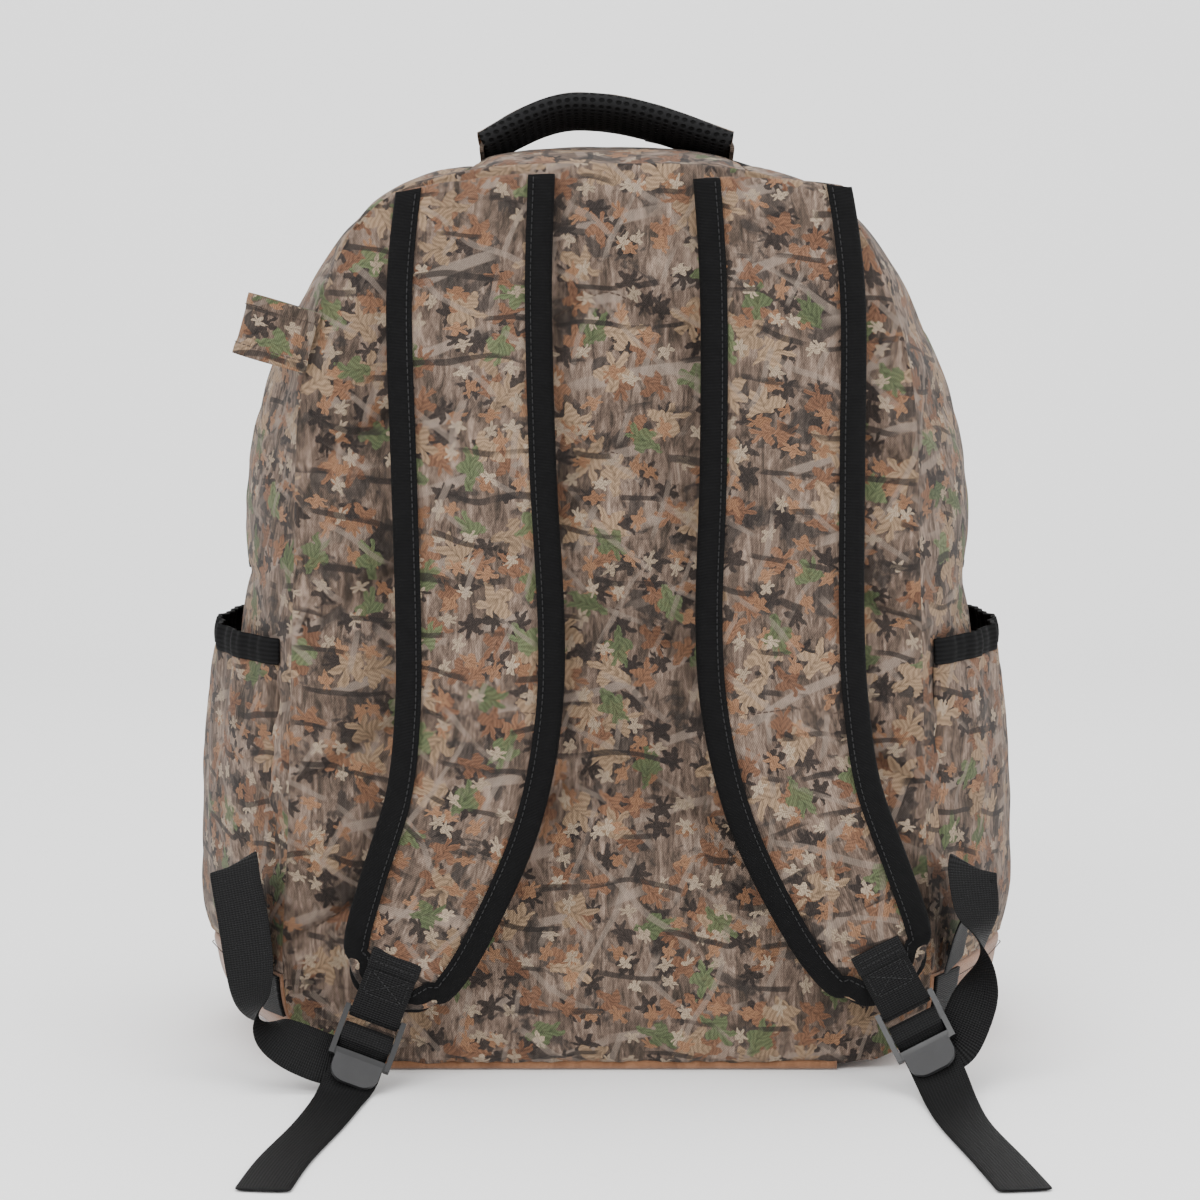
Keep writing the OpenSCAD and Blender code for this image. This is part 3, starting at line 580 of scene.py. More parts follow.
def cloth_set():
    """Every material, by the name that the pieces use."""
    return {
        "camo": camo_cloth(),
        "suede": suede_cloth(),
        "mesh": mesh_cloth(),
        "webbing": webbing_cloth(),
        "binding": binding_cloth(),
        "elastic": binding_cloth("elastic", 2.2),
        "tape": binding_cloth("zip_tape", 0.9),
        "plastic": moulded("black_plastic", (0.0045, 0.0045, 0.0050), 0.44),
        "thumb": moulded("thumb_plastic", (0.018, 0.018, 0.019), 0.60, 0.6),
        "metal": moulded("slider_metal", (0.010, 0.010, 0.011), 0.34, 0.15, 0.7),
        "lining": lining_cloth(),
        "lining_plain": moulded("lining_plain", (0.075, 0.071, 0.068), 0.62, 0.5),
        "board": moulded("board", (0.060, 0.060, 0.062), 0.55),
        "thread_black": thread("thread_black", (0.007, 0.007, 0.0075)),
        "thread_brown": thread("thread_brown", (0.050, 0.030, 0.020)),
    }


# ---------------------------------------------------------------- sewing

def strands(name, segments, radius, material, body):
    """Short round threads, one for each pair of end points (mm): stitches, or the coils of a zip."""
    sides = 5
    starts = np.array([s[0] for s in segments], float)
    ends = np.array([s[1] for s in segments], float)
    along_it = unit(ends - starts)
    helper = np.where(np.abs(along_it[:, 2:3]) < 0.8, [[0, 0, 1.0]], [[0, 1.0, 0]])
    side = unit(np.cross(along_it, helper))
    up = np.cross(side, along_it)
    rings = ((0.0, 0.35), (0.12, 1.0), (0.88, 1.0), (1.0, 0.35))
    verts = []
    for place, size in rings:
        centre = starts + (ends - starts) * place
        for k in range(sides):
            a = 2 * math.pi * k / sides
            verts.append(centre + radius * size * (math.cos(a) * side + math.sin(a) * up))
    verts = np.stack(verts, 1)
    count = len(rings) * sides
    one = [[r * sides + k, r * sides + (k + 1) % sides, (r + 1) * sides + (k + 1) % sides, (r + 1) * sides + k]
           for r in range(len(rings) - 1) for k in range(sides)]
    one_caps = [list(range(sides))[::-1], [3 * sides + k for k in range(sides)]]
    faces = [[n * count + i for i in f] for n in range(len(segments)) for f in one + one_caps]
    obj = mesh_piece(name, verts.reshape(-1, 3), faces)
    return finish_piece(obj, material, body)


def stitches(path, pitch=2.6, length=1.9, lift=0.25):
    """Stitch end points along a path of points (mm) with their outward directions."""
    points, outward = np.asarray(path[0], float), np.asarray(path[1], float)
    steps = np.linalg.norm(np.diff(points, axis=0), axis=1)
    run = np.concatenate([[0], np.cumsum(steps)])
    places = np.arange(0.4 * pitch, run[-1] - 0.6 * pitch, pitch)

    def at(s):
        p = np.stack([np.interp(s, run, points[:, k]) for k in range(3)], -1)
        n = unit(np.stack([np.interp(s, run, outward[:, k]) for k in range(3)], -1))
        return p + lift * n
    return list(zip(at(places), at(places + length)))


def tube(name, path, radius, material, body, sides=8, flat=1.0, outward=None):
    """A smooth cord of piping or a rolled hem along a path (mm)."""
    points = np.asarray(path, float)
    tangent = unit(np.gradient(points, axis=0))
    if outward is None:
        outward = np.repeat([[0.0, -1.0, 0.0]], len(points), axis=0)
    side = unit(np.cross(tangent, outward))
    up = np.cross(side, tangent)
    angles = np.linspace(0, 2 * math.pi, sides, endpoint=False)
    ring = [points + radius * (math.cos(a) * side + flat * math.sin(a) * up) for a in angles]
    grid = np.stack(ring, 1)
    run = np.concatenate([[0], np.cumsum(np.linalg.norm(np.diff(points, axis=0), axis=1))])
    uv = np.stack([np.broadcast_to(angles * radius, (len(points), sides)),
                   np.repeat(run[:, None], sides, axis=1)], -1)
    obj = grid_piece(name, grid, uv, wrap=True)
    close_ends(obj)
    return finish_piece(obj, material, body)


def close_ends(obj):
    work = bmesh.new()
    work.from_mesh(obj.data)
    bmesh.ops.holes_fill(work, edges=[e for e in work.edges if e.is_boundary], sides=0)
    bmesh.ops.recalc_face_normals(work, faces=work.faces)
    work.to_mesh(obj.data)
    work.free()


def closed_loft(name, rings, uv=None):
    """Closed solid through rings of the same number of points (mm)."""
    rings = np.asarray(rings, float)
    obj = grid_piece(name, rings, uv, wrap=True)
    close_ends(obj)
    return obj


def rail_mesh(obj, bevel, segments=2):
    """Softens a hard solid's edges: merges its flat facets and bevels what is left."""
    work = bmesh.new()
    work.from_mesh(obj.data)
    bmesh.ops.remove_doubles(work, verts=work.verts, dist=1e-6)
    bmesh.ops.dissolve_limit(work, angle_limit=math.radians(4), verts=work.verts, edges=work.edges)
    work.to_mesh(obj.data)
    work.free()
    modifier = obj.modifiers.new("bevel", "BEVEL")
    modifier.width = bevel * MM
    modifier.segments = segments
    modifier.limit_method = "ANGLE"
    modifier.angle_limit = math.radians(28)
    modifier.harden_normals = False
    return apply_modifiers(obj)


# ---------------------------------------------------------------- back panel

CHEVRON_TOPS = (387.0, 310.0, 234.0, 158.0)
CHEVRON_SLOPE = 0.6
PANEL_Y = -95.2
PANEL_PUFF = 6.2
CHANNEL_DEPTH = 2.2


def panel_point(s, v):
    """Place on the back panel's plane: s from -1 to 1 across, v from 0 to 1 up."""
    u_top = 7.0
    side = outline(SEAM_ROWS, 1 + (u_top - 1) * v)
    arc_u = np.linspace(u_top, 2 * TOP_ROW - u_top, 60)
    arc = outline(SEAM_ROWS, arc_u)[::-1]
    corner = outline(SEAM_ROWS, np.array(u_top))
    top = np.interp(s * corner[0], arc[:, 0], arc[:, 1])
    x = s * side[..., 0]
    z = side[..., 1] + v ** 3 * (top - corner[1])
    return x, z


def chevron_distance(x, z):
    """Distance from the nearest sewn chevron line."""
    drop = CHEVRON_SLOPE * np.sqrt(x ** 2 + 6.0 ** 2)
    slant = math.cos(math.atan(CHEVRON_SLOPE))
    gaps = np.stack([np.abs(z - (top - drop)) * slant for top in CHEVRON_TOPS])
    return gaps.min(axis=0)


def edge_distance(s, v, x):
    """Rough distance from the panel's seam."""
    across = (1 - np.abs(s)) * np.maximum(np.abs(x).max(axis=1, keepdims=True), 100)
    return np.minimum(across, np.minimum(v, 1 - v) * 440)


def build_back_panel(cloth):
    rows, cols = 132, 92
    v, s = np.meshgrid(np.linspace(0, 1, rows), np.linspace(-1, 1, cols), indexing="ij")
    x, z = panel_point(s, v)
    line = chevron_distance(x, z)
    edge = edge_distance(s, v, x)
    near = np.minimum(line, edge)
    puff = 1 - np.exp(-(near / 13.0) ** 1.3)
    lower_top = 1 - 0.62 * np.clip((z - 385) / 45, 0, 1)
    flat = np.stack([x, np.full_like(x, PANEL_Y), z], -1)
    wrinkle = 0.5 * noise_at(flat * [1.0, 1.0, 0.35], 9.0, 2) * np.exp(-line / 9.0)
    broad = 0.7 * noise_at(flat, 46.0, 3) * puff
    y = PANEL_Y - PANEL_PUFF * puff * lower_top - (wrinkle + broad) * np.clip(edge / 6, 0, 1)
    points = np.stack([x, y, z], -1)
    uv = np.stack([x, z], -1)
    panel = grid_piece("back_panel", points, uv)
    sewn = np.exp(-(line / 2.6) ** 2)
    inflate(panel, edge_pins(rows, cols, sewn), 5.0, 0.035, 2.2, frames=14)
    subdivide(panel)
    carve_channels(panel)
    thicken(panel, 1.0, cloth["camo"])
    finish_piece(panel, cloth["camo"], "body", ("back_cover", "back_foam"))
    sew_chevrons(cloth)


def carve_channels(panel):
    """Presses the sewn channels into the swollen panel."""
    count = len(panel.data.vertices)
    co = np.empty(count * 3)
    panel.data.vertices.foreach_get("co", co)
    co = co.reshape(-1, 3)
    x, z = co[:, 0] / MM, co[:, 2] / MM
    side = np.interp(z, SEAM_ROWS[2:8, 1], SEAM_ROWS[2:8, 0])
    inside = np.clip((side - np.abs(x)) / 8, 0, 1)
    groove = np.exp(-(chevron_distance(x, z) / 1.9) ** 2)
    co[:, 1] += CHANNEL_DEPTH * MM * groove * inside
    panel.data.vertices.foreach_set("co", co.ravel())
    panel.data.update()


def sew_chevrons(cloth):
    """One row of stitches down in each channel, laid on the panel's surface."""
    segments = []
    for top in CHEVRON_TOPS:
        x = np.linspace(-145, 145, 220)
        z = top - CHEVRON_SLOPE * np.sqrt(x ** 2 + 36)
        side = np.interp(z, SEAM_ROWS[1:9, 1], SEAM_ROWS[1:9, 0])
        kept = (np.abs(x) < side - 3) & (z > 8)
        path = np.stack([x, np.full_like(x, PANEL_Y + 1.1), z], -1)[kept]
        outward = np.tile([0.0, -1.0, 0.0], (len(path), 1))
        segments += stitches((path, outward), 3.0, 2.1, 0.0)
    strands("panel_stitches", segments, 0.28, cloth["thread_brown"], "body")


# ---------------------------------------------------------------- side, top and base fabric

def skin_grid(u0, u1, y0, y1, rows, cols, over=0.0):
    """Grid on the body's fabric, over it by a height (a number or a grid of heights)."""
    u, v = np.meshgrid(np.linspace(u0, u1, rows), np.linspace(0, 1, cols), indexing="ij")
    low = y0(u) if callable(y0) else y0
    high = y1(u) if callable(y1) else y1
    points = skin(u, low + (high - low) * v)
    return points + np.asarray(over)[..., None] * normals_of(points) if np.ndim(over) else (
        points + over * normals_of(points))


def wrinkled(points, size, scale, seed, hold=6.0):
    """Pushes a grid in and out by smooth noise, less beside its edges."""
    rows, cols = points.shape[:2]
    i = np.minimum(np.arange(rows), np.arange(rows)[::-1])[:, None]
    j = np.minimum(np.arange(cols), np.arange(cols)[::-1])[None, :]
    hold = np.clip(np.minimum(i, j) / hold, 0, 1)
    shift = size * (0.7 * noise_at(points, scale, seed) + 0.3 * noise_at(points, scale / 2.7, seed + 5))
    return points + (shift * hold)[..., None] * normals_of(points)


def tucked(points, depth=1.6, edges=(True, True, True, True)):
    """Turns the edges of a grid inward, as at a sewn seam: first and last row, first and last column."""
    points = points.copy()
    normals = normals_of(points)
    for active, index in zip(edges, ((0, None), (-1, None), (None, 0), (None, -1))):
        if not active:
            continue
        row, col = index
        place = (row, slice(None)) if col is None else (slice(None), col)
        points[place] -= depth * normals[place]
    return points


def fabric_piece(name, points, cloth, body, swell, seed, replaces, material="camo",
                 thickness=1.1, size=0.9, pressure=2.2, slack=0.02, edges=(True, True, True, True)):
    """One panel of the bag's fabric: wrinkled, swollen between its seams, and lined."""
    rows, cols = points.shape[:2]
    uv = grid_uv(points)
    points = tucked(wrinkled(points, size, 34.0, seed), edges=edges)
    obj = grid_piece(name, points, uv)
    inflate(obj, edge_pins(rows, cols), pressure, slack, swell, frames=12)
    subdivide(obj)
    thicken(obj, thickness, cloth[material], cloth["lining"])
    return finish_piece(obj, cloth[material], body, replaces)


def build_side(cloth, side):
    name = SIDE_NAME[side]
    rear = skin_grid(BOOT_ROW, STRIP_ROW - 0.01, BACK_Y + 0.2, ZIP_Y - ZIP_GAP - 0.2, 120, 26)
    fabric_piece(f"side_rear_{name}", mirrored(rear, side), cloth, "body", 2.4, 11 + side,
                 (f"gusset_rear_{name}",))
    front = skin_grid(BOOT_ROW, ZIP_ROW - 0.02, ZIP_Y - ZIP_GAP + 0.4, FRONT_Y - 2.4, 44, 22)
    fabric_piece(f"side_front_{name}", mirrored(front, side), cloth, "body", 2.0, 15 + side,
                 (f"gusset_front_{name}",))
    boot = skin_grid(BASE_ROW + 0.01, BOOT_ROW - 0.01, BACK_Y + 0.2, FRONT_Y - 2.4, 30, 46)
    fabric_piece(f"boot_cover_{name}", mirrored(boot, side), cloth, "body", 1.2, 19 + side,
                 (f"boot_{name}",), "suede", 1.6, 0.6, 1.5, 0.012)
    trim = skin_grid(BASE_ROW + 0.02, BOOT_ROW - 0.02, BACK_Y + 0.6, BACK_Y + 9.5, 40, 6, 0.9)
    trim = mirrored(tucked(trim, 1.1), side)
    strip = grid_piece(f"boot_trim_{name}", trim)
    subdivide(strip)
    thicken(strip, 0.9, cloth["suede"])
    finish_piece(strip, cloth["suede"], "body")
    hem = skin_grid(BOOT_ROW - 0.14, BOOT_ROW + 0.02, BACK_Y + 0.4, FRONT_Y - 3, 6, 60, 1.0)
    hem = mirrored(tucked(wrinkled(hem, 0.35, 14.0, 23, 2.0), 1.4), side)
    fold = grid_piece(f"boot_hem_{name}", hem)
    subdivide(fold)
    thicken(fold, 1.0, cloth["suede"])
    finish_piece(fold, cloth["suede"], "body")
    sew_boot(cloth, side)


def sew_boot(cloth, side):
    y = np.linspace(BACK_Y + 2, FRONT_Y - 5, 120)
    row = skin_grid(BOOT_ROW - 0.11, BOOT_ROW - 0.06, BACK_Y + 2, FRONT_Y - 5, 3, len(y), 1.75)
    path = mirrored(row, side)
    out = normals_of(path)
    strands(f"boot_stitches_{SIDE_NAME[side]}", stitches((path[1], out[1]), 3.2, 2.3, 0.2), 0.3,
            cloth["thread_brown"], "body")


def build_top_and_base(cloth):
    strip = skin_grid(STRIP_ROW + 0.01, 2 * TOP_ROW - STRIP_ROW - 0.01,
                      BACK_Y + 0.2, ZIP_Y - ZIP_GAP - 0.2, 60, 30)
    fabric_piece("top_cover", strip, cloth, "body", 1.8, 31, ("top_strip",))
    low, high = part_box("base_panel")
    low, high = np.array(low) / MM, np.array(high) / MM
    rows, cols = 26, 30
    y, x = np.meshgrid(np.linspace(low[1], high[1], rows), np.linspace(-1, 1, cols), indexing="ij")
    half = skin(np.full(rows, float(BASE_ROW)), y[:, 0])[:, 0][:, None] - 2.6
    under = np.stack([x * half, y, np.zeros_like(x)], -1)
    base = grid_piece("base_cover", under[:, ::-1])
    thicken(base, high[2], cloth["suede"], cloth["lining"])
    finish_piece(base, cloth["suede"], "body", ("base_panel",))
    edge_x = np.linspace(-114, 114, 90)
    wobble = 0.25 * noise_at(np.stack([edge_x, 0 * edge_x, 0 * edge_x], -1)[None], 12.0, 4)[0]
    path = np.stack([edge_x, BACK_Y - 0.4 + wobble, np.full_like(edge_x, 2.6)], -1)
    tube("base_roll_back", path, 2.5, cloth["suede"], "body", 12, 0.8)
    front = path * [1, 0, 1] + [0, FRONT_Y - 1.2, 0]
    tube("base_roll_front", front, 2.5, cloth["suede"], "body", 12, 0.8)


# ---------------------------------------------------------------- front

FRONT_POCKET_HALF, FRONT_POCKET_LOW, FRONT_POCKET_HIGH, FRONT_POCKET_D = 112.0, 42.0, 212.0, 18.0
POCKET_ZIP_Z = 214.0


def front_grid(u0, u1, rows, cols, over=0.0):
    """Grid on the front face between two outline rows, facing +Y."""
    u, s = np.meshgrid(np.linspace(u0, u1, rows), np.linspace(1, -1, cols), indexing="ij")
    p = outline(FRONT_ROWS, u)
    return np.stack([s * p[..., 0], along(FRONT_Y_ROWS, u) + over, p[..., 1]], -1)


def build_front(cloth):
    lower = front_grid(BASE_ROW, ZIP_ROW - 0.1, 60, 60)
    fabric_piece("front_cover", lower, cloth, "body", 1.6, 41, ("front_panel",), edges=(True, False, True, True))
    flap = front_grid(ZIP_ROW + 0.1, TOP_ROW - 0.1, 56, 56, 2.0)
    fabric_piece("flap_cover", flap, cloth, "flap", 2.6, 43, ("flap_panel",), edges=(False, True, True, True))
    fold = front_grid(ZIP_ROW - 0.12, ZIP_ROW + 0.12, 14, 60, 1.2)
    hinge = grid_piece("flap_fold", wrinkled(fold, 0.6, 20.0, 45, 3.0))
    subdivide(hinge)
    thicken(hinge, 1.0, cloth["camo"], cloth["lining"])
    finish_piece(hinge, cloth["camo"], None)
    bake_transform(hinge)
    u0 = ZIP_ROW + 0.03
    gusset = skin_grid(u0, 2 * TOP_ROW - u0, ZIP_Y + ZIP_GAP + 0.2,
                       lambda u: along(FRONT_Y_ROWS, folded(u)) + 0.4, 190, 18)
    fabric_piece("flap_side", gusset, cloth, "flap", 2.0, 47, ("flap_gusset",))


def build_hinge_piping(cloth, side):
    """Bound edges of the side fabric where the flap hinges on the body."""
    y = np.linspace(ZIP_Y + ZIP_GAP, FRONT_Y - 1.5, 40)
    for row, body in ((ZIP_ROW - 0.045, "body"), (ZIP_ROW + 0.045, "flap")):
        path = skin(np.full_like(y, row), y) * [side, 1, 1]
        out = np.tile([float(side), 0.0, 0.0], (len(y), 1))
        tube(f"hinge_piping_{body}_{SIDE_NAME[side]}", path, 2.1, cloth["binding"], body,
             8, 0.7, out)


def build_front_pocket(cloth):
    rows, cols = 64, 80
    r, c = np.meshgrid(np.linspace(0, 1, rows), np.linspace(1, -1, cols), indexing="ij")
    rise = np.sin(math.pi * np.clip(r, 0.0, 1)) ** 0.5 * np.cos(math.pi / 2 * c) ** 0.4
    rise = np.nan_to_num(rise)
    depth = FRONT_Y + 0.3 + FRONT_POCKET_D * rise
    x = FRONT_POCKET_HALF * c
    z = FRONT_POCKET_LOW + (FRONT_POCKET_HIGH - FRONT_POCKET_LOW) * r
    points = wrinkled(np.stack([x, depth, z], -1), 1.6, 42.0, 51)
    pouch = grid_piece("front_pouch", points)
    inflate(pouch, edge_pins(rows, cols), 3.0, 0.03, 3.0, frames=12)
    subdivide(pouch)
    thicken(pouch, 1.1, cloth["camo"], cloth["lining"])
    finish_piece(pouch, cloth["camo"], "body", ("front_pocket",))
    edge = [(-FRONT_POCKET_HALF + 2, FRONT_POCKET_HIGH - 2), (-FRONT_POCKET_HALF + 2, FRONT_POCKET_LOW + 2),
            (FRONT_POCKET_HALF - 2, FRONT_POCKET_LOW + 2), (FRONT_POCKET_HALF - 2, FRONT_POCKET_HIGH - 2)]
    segments = []
    for (xa, za), (xb, zb) in zip(edge, edge[1:]):
        t = np.linspace(0, 1, 60)[:, None]
        path = np.array([[xa, FRONT_Y + 2.0, za]]) * (1 - t) + np.array([[xb, FRONT_Y + 2.0, zb]]) * t
        segments += stitches((path, np.tile([0.0, 1.0, 0.0], (60, 1))), 3.2, 2.3, 0.0)
    strands("front_pouch_stitches", segments, 0.3, cloth["thread_brown"], "body")


# ---------------------------------------------------------------- side pockets

POCKET_TOP_U, POCKET_BOTTOM_U = 4.78, 3.02
POCKET_Y = (-84.0, 80.0)
POCKET_GAP = 13.0
ELASTIC_U = POCKET_TOP_U - 0.1


def pouch_grid(u0, u1, rows, cols, folds):
    """The pouch over the side fabric: it stands off towards its mouth, and hangs in soft folds."""
    u, v = np.meshgrid(np.linspace(u0, u1, rows), np.linspace(0, 1, cols), indexing="ij")
    up = (u - POCKET_BOTTOM_U) / (POCKET_TOP_U - POCKET_BOTTOM_U)
    rise = 0.6 + POCKET_GAP * np.sin(math.pi / 2 * up) * np.sin(math.pi * v) ** 0.6
    wave = np.sin(2 * math.pi * (5.2 * v + 0.35 * np.sin(4 * v) + 0.12 * up))
    fine = np.sin(2 * math.pi * (17 * v + 0.8 * np.sin(7 * v)))
    hold = np.sin(math.pi * v) ** 0.5
    rise = rise + folds * hold * (1.5 * up ** 1.5 * wave + 0.75 * up ** 9 * fine)
    points = skin(u, POCKET_Y[0] + (POCKET_Y[1] - POCKET_Y[0]) * v)
    return points + rise[..., None] * normals_of(points)


def build_side_pocket(cloth, side):
    name = SIDE_NAME[side]
    points = mirrored(pouch_grid(POCKET_BOTTOM_U, ELASTIC_U, 66, 62, 1.0), side)
    fabric_piece(f"pocket_cover_{name}", points, cloth, "body", 1.6, 61 + side, (f"side_pocket_{name}",),
                 thickness=1.0, size=1.1, edges=(True, False, True, True))
    band = mirrored(pouch_grid(ELASTIC_U - 0.005, POCKET_TOP_U, 10, 150, 1.0), side)
    normal = normals_of(band)
    roll = np.sin(np.linspace(0, math.pi, 10))[:, None, None] * 0.9
    elastic = grid_piece(f"pocket_edge_{name}", band + (0.6 + roll) * normal, grid_uv(band))
    subdivide(elastic)
    thicken(elastic, 2.0, cloth["elastic"])
    finish_piece(elastic, cloth["elastic"], "body", (f"pocket_elastic_{name}",))


# ---------------------------------------------------------------- shoulder straps

COVER_Y = -96.5
STRAP_ROWS = np.array([[71, 445], [75, 384], [74, 301], [72, 225], [74, 181],
                       [82, 138], [99, 95], [113, 65], [125, 44]], float)
STRAP_HALF = np.array([36, 37.5, 37.5, 38.5, 38, 36, 33.5, 29.5, 20.5], float)
STRAP_THIN_FROM = 0.86
STRAP_START, STRAP_SHIFT, STRAP_RISE, STRAP_GAP = 8.0, 16.0, 2.8, 23.0
STRAP_DROP = (4.0, 15.0)
STRAP_DROP_END = 0.3
STRAP_THICK = 9.6
STRAP_CORNER = 14.0
BINDING_W = 10.5
STRAP_SEAM_Z = 183.0


def strap_mid(side, s):
    s = np.asarray(s, float)
    p = along(STRAP_ROWS, s * (len(STRAP_ROWS) - 1))
    x = side * p[..., 0] + STRAP_START + (STRAP_SHIFT - STRAP_START) * s
    y = COVER_Y - 2.5 - STRAP_GAP * np.sin(np.radians(122 * s))
    return np.stack([x, y, p[..., 1] + side * STRAP_RISE * s ** 2], -1)


def strap_width(s):
    return along(STRAP_HALF, np.asarray(s, float) * (len(STRAP_HALF) - 1))


def strap_point(side, s, a, t):
    """Point of a strap: s along it, a across it and t out from the face beside the back."""
    s, a, t = np.broadcast_arrays(np.asarray(s, float), a, t)
    d = strap_mid(side, s + 0.005) - strap_mid(side, s - 0.005)
    across = unit(np.stack([-d[..., 2], np.zeros_like(s), d[..., 0]], -1))
    outer = np.clip(0.5 + side * a / strap_width(s) / 2, 0, 1) ** 1.5
    fall = (STRAP_DROP[0] + (STRAP_DROP[1] - STRAP_DROP[0]) * outer) * np.clip(1 - s / STRAP_DROP_END, 0, 1) ** 2
    near_end = np.clip((s - STRAP_THIN_FROM) / (1 - STRAP_THIN_FROM), 0, 1)
    t = t * (1 - 0.55 * near_end ** 2 * (3 - 2 * near_end))
    return strap_mid(side, s) + a[..., None] * across - np.stack([np.zeros_like(s), t, fall], -1)


def strap_length(side):
    """Lengths along the strap's middle, to turn a length into a place."""
    s = np.linspace(0, 1, 200)
    run = np.linalg.norm(np.diff(strap_mid(side, s), axis=0), axis=1)
    return s, np.concatenate([[0], np.cumsum(run)])


def pad_height(e):
    """Height of the padded face over the strap's back; e is 0 in the middle and 1 at the edge."""
    return STRAP_THICK - 2.6 + 3.2 * (1 - np.clip(np.abs(e), 0, 1) ** 2.6)


def strap_cover_grid(side, face):
    """Grid over one face of a strap, rounded in at its lower corners."""
    places, lengths = strap_length(side)
    rows, cols = 120, 26
    l, e = np.meshgrid(np.linspace(0, lengths[-1] - 1.5, rows), np.linspace(-1, 1, cols), indexing="ij")
    s = np.interp(l, lengths, places)
    past = np.clip(l - (lengths[-1] - STRAP_CORNER), 0, STRAP_CORNER)
    half = strap_width(s) - 2 - (STRAP_CORNER - np.sqrt(STRAP_CORNER ** 2 - past ** 2))
    height = pad_height(e) if face else 0.9 * (np.abs(e) ** 3)
    return strap_point(side, s, e * half, height), l, e * half


def build_strap(cloth, side):
    name = SIDE_NAME[side]
    body = f"strap_{name}"
    points, l, a = strap_cover_grid(side, True)
    uv = np.stack([a + 60 * side, -l], -1)
    seam = np.exp(-((points[..., 2] - STRAP_SEAM_Z) / 2.4) ** 2)
    crease = 0.5 * noise_at(points * [1, 1, 0.5], 10.0, 3 + side) + 0.6 * noise_at(points, 40.0, 7 + side)
    points[..., 1] += 1.5 * seam - crease * (1 - np.abs(np.linspace(-1, 1, points.shape[1]))[None, :] ** 4)
    cover = grid_piece(f"strap_pad_{name}", points, uv)
    inflate(cover, edge_pins(*points.shape[:2], seam), 3.5, 0.02, 1.6, frames=12)
    subdivide(cover)
    thicken(cover, 1.0, cloth["camo"])
    finish_piece(cover, cloth["camo"], body, (f"strap_cover_{name}", f"strap_foam_{name}"))
    back, l, a = strap_cover_grid(side, False)
    mesh = grid_piece(f"strap_back_{name}", back[:, ::-1], np.stack([a, -l], -1)[:, ::-1])
    subdivide(mesh)
    thicken(mesh, 1.0, cloth["mesh"])
    finish_piece(mesh, cloth["mesh"], body, (f"strap_mesh_{name}",))
    build_binding(cloth, side)
    build_strap_seam(cloth, side)


def binding_path(side):
    """The strap's edge as lengths and widths, down one side, round the end and up the other."""
    places, lengths = strap_length(side)
    last = lengths[-1]
    down = np.linspace(0, last - STRAP_CORNER, 74)
    half = strap_width(np.interp(down, lengths, places))
    end_half = strap_width(1.0)
    turn = np.linspace(0, math.pi / 2, 12)[1:]
    corner_l = last - STRAP_CORNER + STRAP_CORNER * np.sin(turn)
    corner_a = end_half + 0.6 - STRAP_CORNER + STRAP_CORNER * np.cos(turn)
    flat_a = np.linspace(corner_a[-1], 0, 6)[1:]
    one_l = np.concatenate([down, corner_l, np.full(5, last)])
    one_a = np.concatenate([half, corner_a, flat_a])
    path = np.stack([np.concatenate([one_l, one_l[-2::-1]]), np.concatenate([one_a, -one_a[-2::-1]])], -1)
    return path, places, lengths


def build_binding(cloth, side):
    """U-shaped tape over the strap's edge: 10.5 mm on each face, stitched near its inner edge."""
    name = SIDE_NAME[side]
    path, places, lengths = binding_path(side)
    tangent = unit(np.gradient(path, axis=0))
    inward = np.stack([tangent[:, 1], -tangent[:, 0]], -1)
    profile = [(BINDING_W, -0.7), (BINDING_W - 2, -1.1), (3.0, -1.3), (0.2, -0.8), (-1.6, 1.2), (-2.1, 3.6),
               (-2.1, 5.4), (-1.5, 7.6), (0.4, 9.3), (3.0, 10.1), (BINDING_W - 2.4, 10.5), (BINDING_W, 10.2),
               (BINDING_W + 0.1, 9.2)]
    fine = spline_resample(np.array(profile), 3)
    rings = []
    for place, direction in zip(path, inward):
        lw = place[None] + fine[:, :1] * direction[None]
        s = np.interp(np.clip(lw[:, 0], 0, None), lengths, places)
        half = np.maximum(strap_width(s), 1)
        e = np.clip(np.abs(lw[:, 1]) / half, 0, 1)
        t = fine[:, 1].copy()
        front = t > 5
        t[front] += (pad_height(e) - pad_height(1.0))[front] * np.clip((fine[front, 0] + 1) / 6, 0, 1)
        point = strap_point(side, s, lw[:, 1], t)
        beyond = lw[:, 0] - lengths[-1]
        point[:, 2] -= np.clip(beyond, 0, None)
        rings.append(point)
    grid = np.array(rings)
    grid[..., 1] += 0.22 * noise_at(grid, 11.0, 9 + side)
    tape = grid_piece(f"strap_edge_{name}", grid)
    subdivide(tape)
    work = bmesh.new()
    work.from_mesh(tape.data)
    bmesh.ops.recalc_face_normals(work, faces=work.faces)
    work.to_mesh(tape.data)
    work.free()
    thicken(tape, 0.9, cloth["binding"])
    finish_piece(tape, cloth["binding"], f"strap_{name}", (f"strap_binding_{name}",))
    column = int(0.84 * (grid.shape[1] - 1))
    out = np.tile([0.0, -1.0, 0.0], (len(grid), 1))
    strands(f"strap_stitches_{name}", stitches((grid[:, column], out), 3.2, 2.3, 0.35), 0.26,
            cloth["thread_black"], f"strap_{name}")


def spline_resample(rows, per):
    t = np.linspace(0, len(rows) - 1, per * (len(rows) - 1) + 1)
    return along(rows, t)


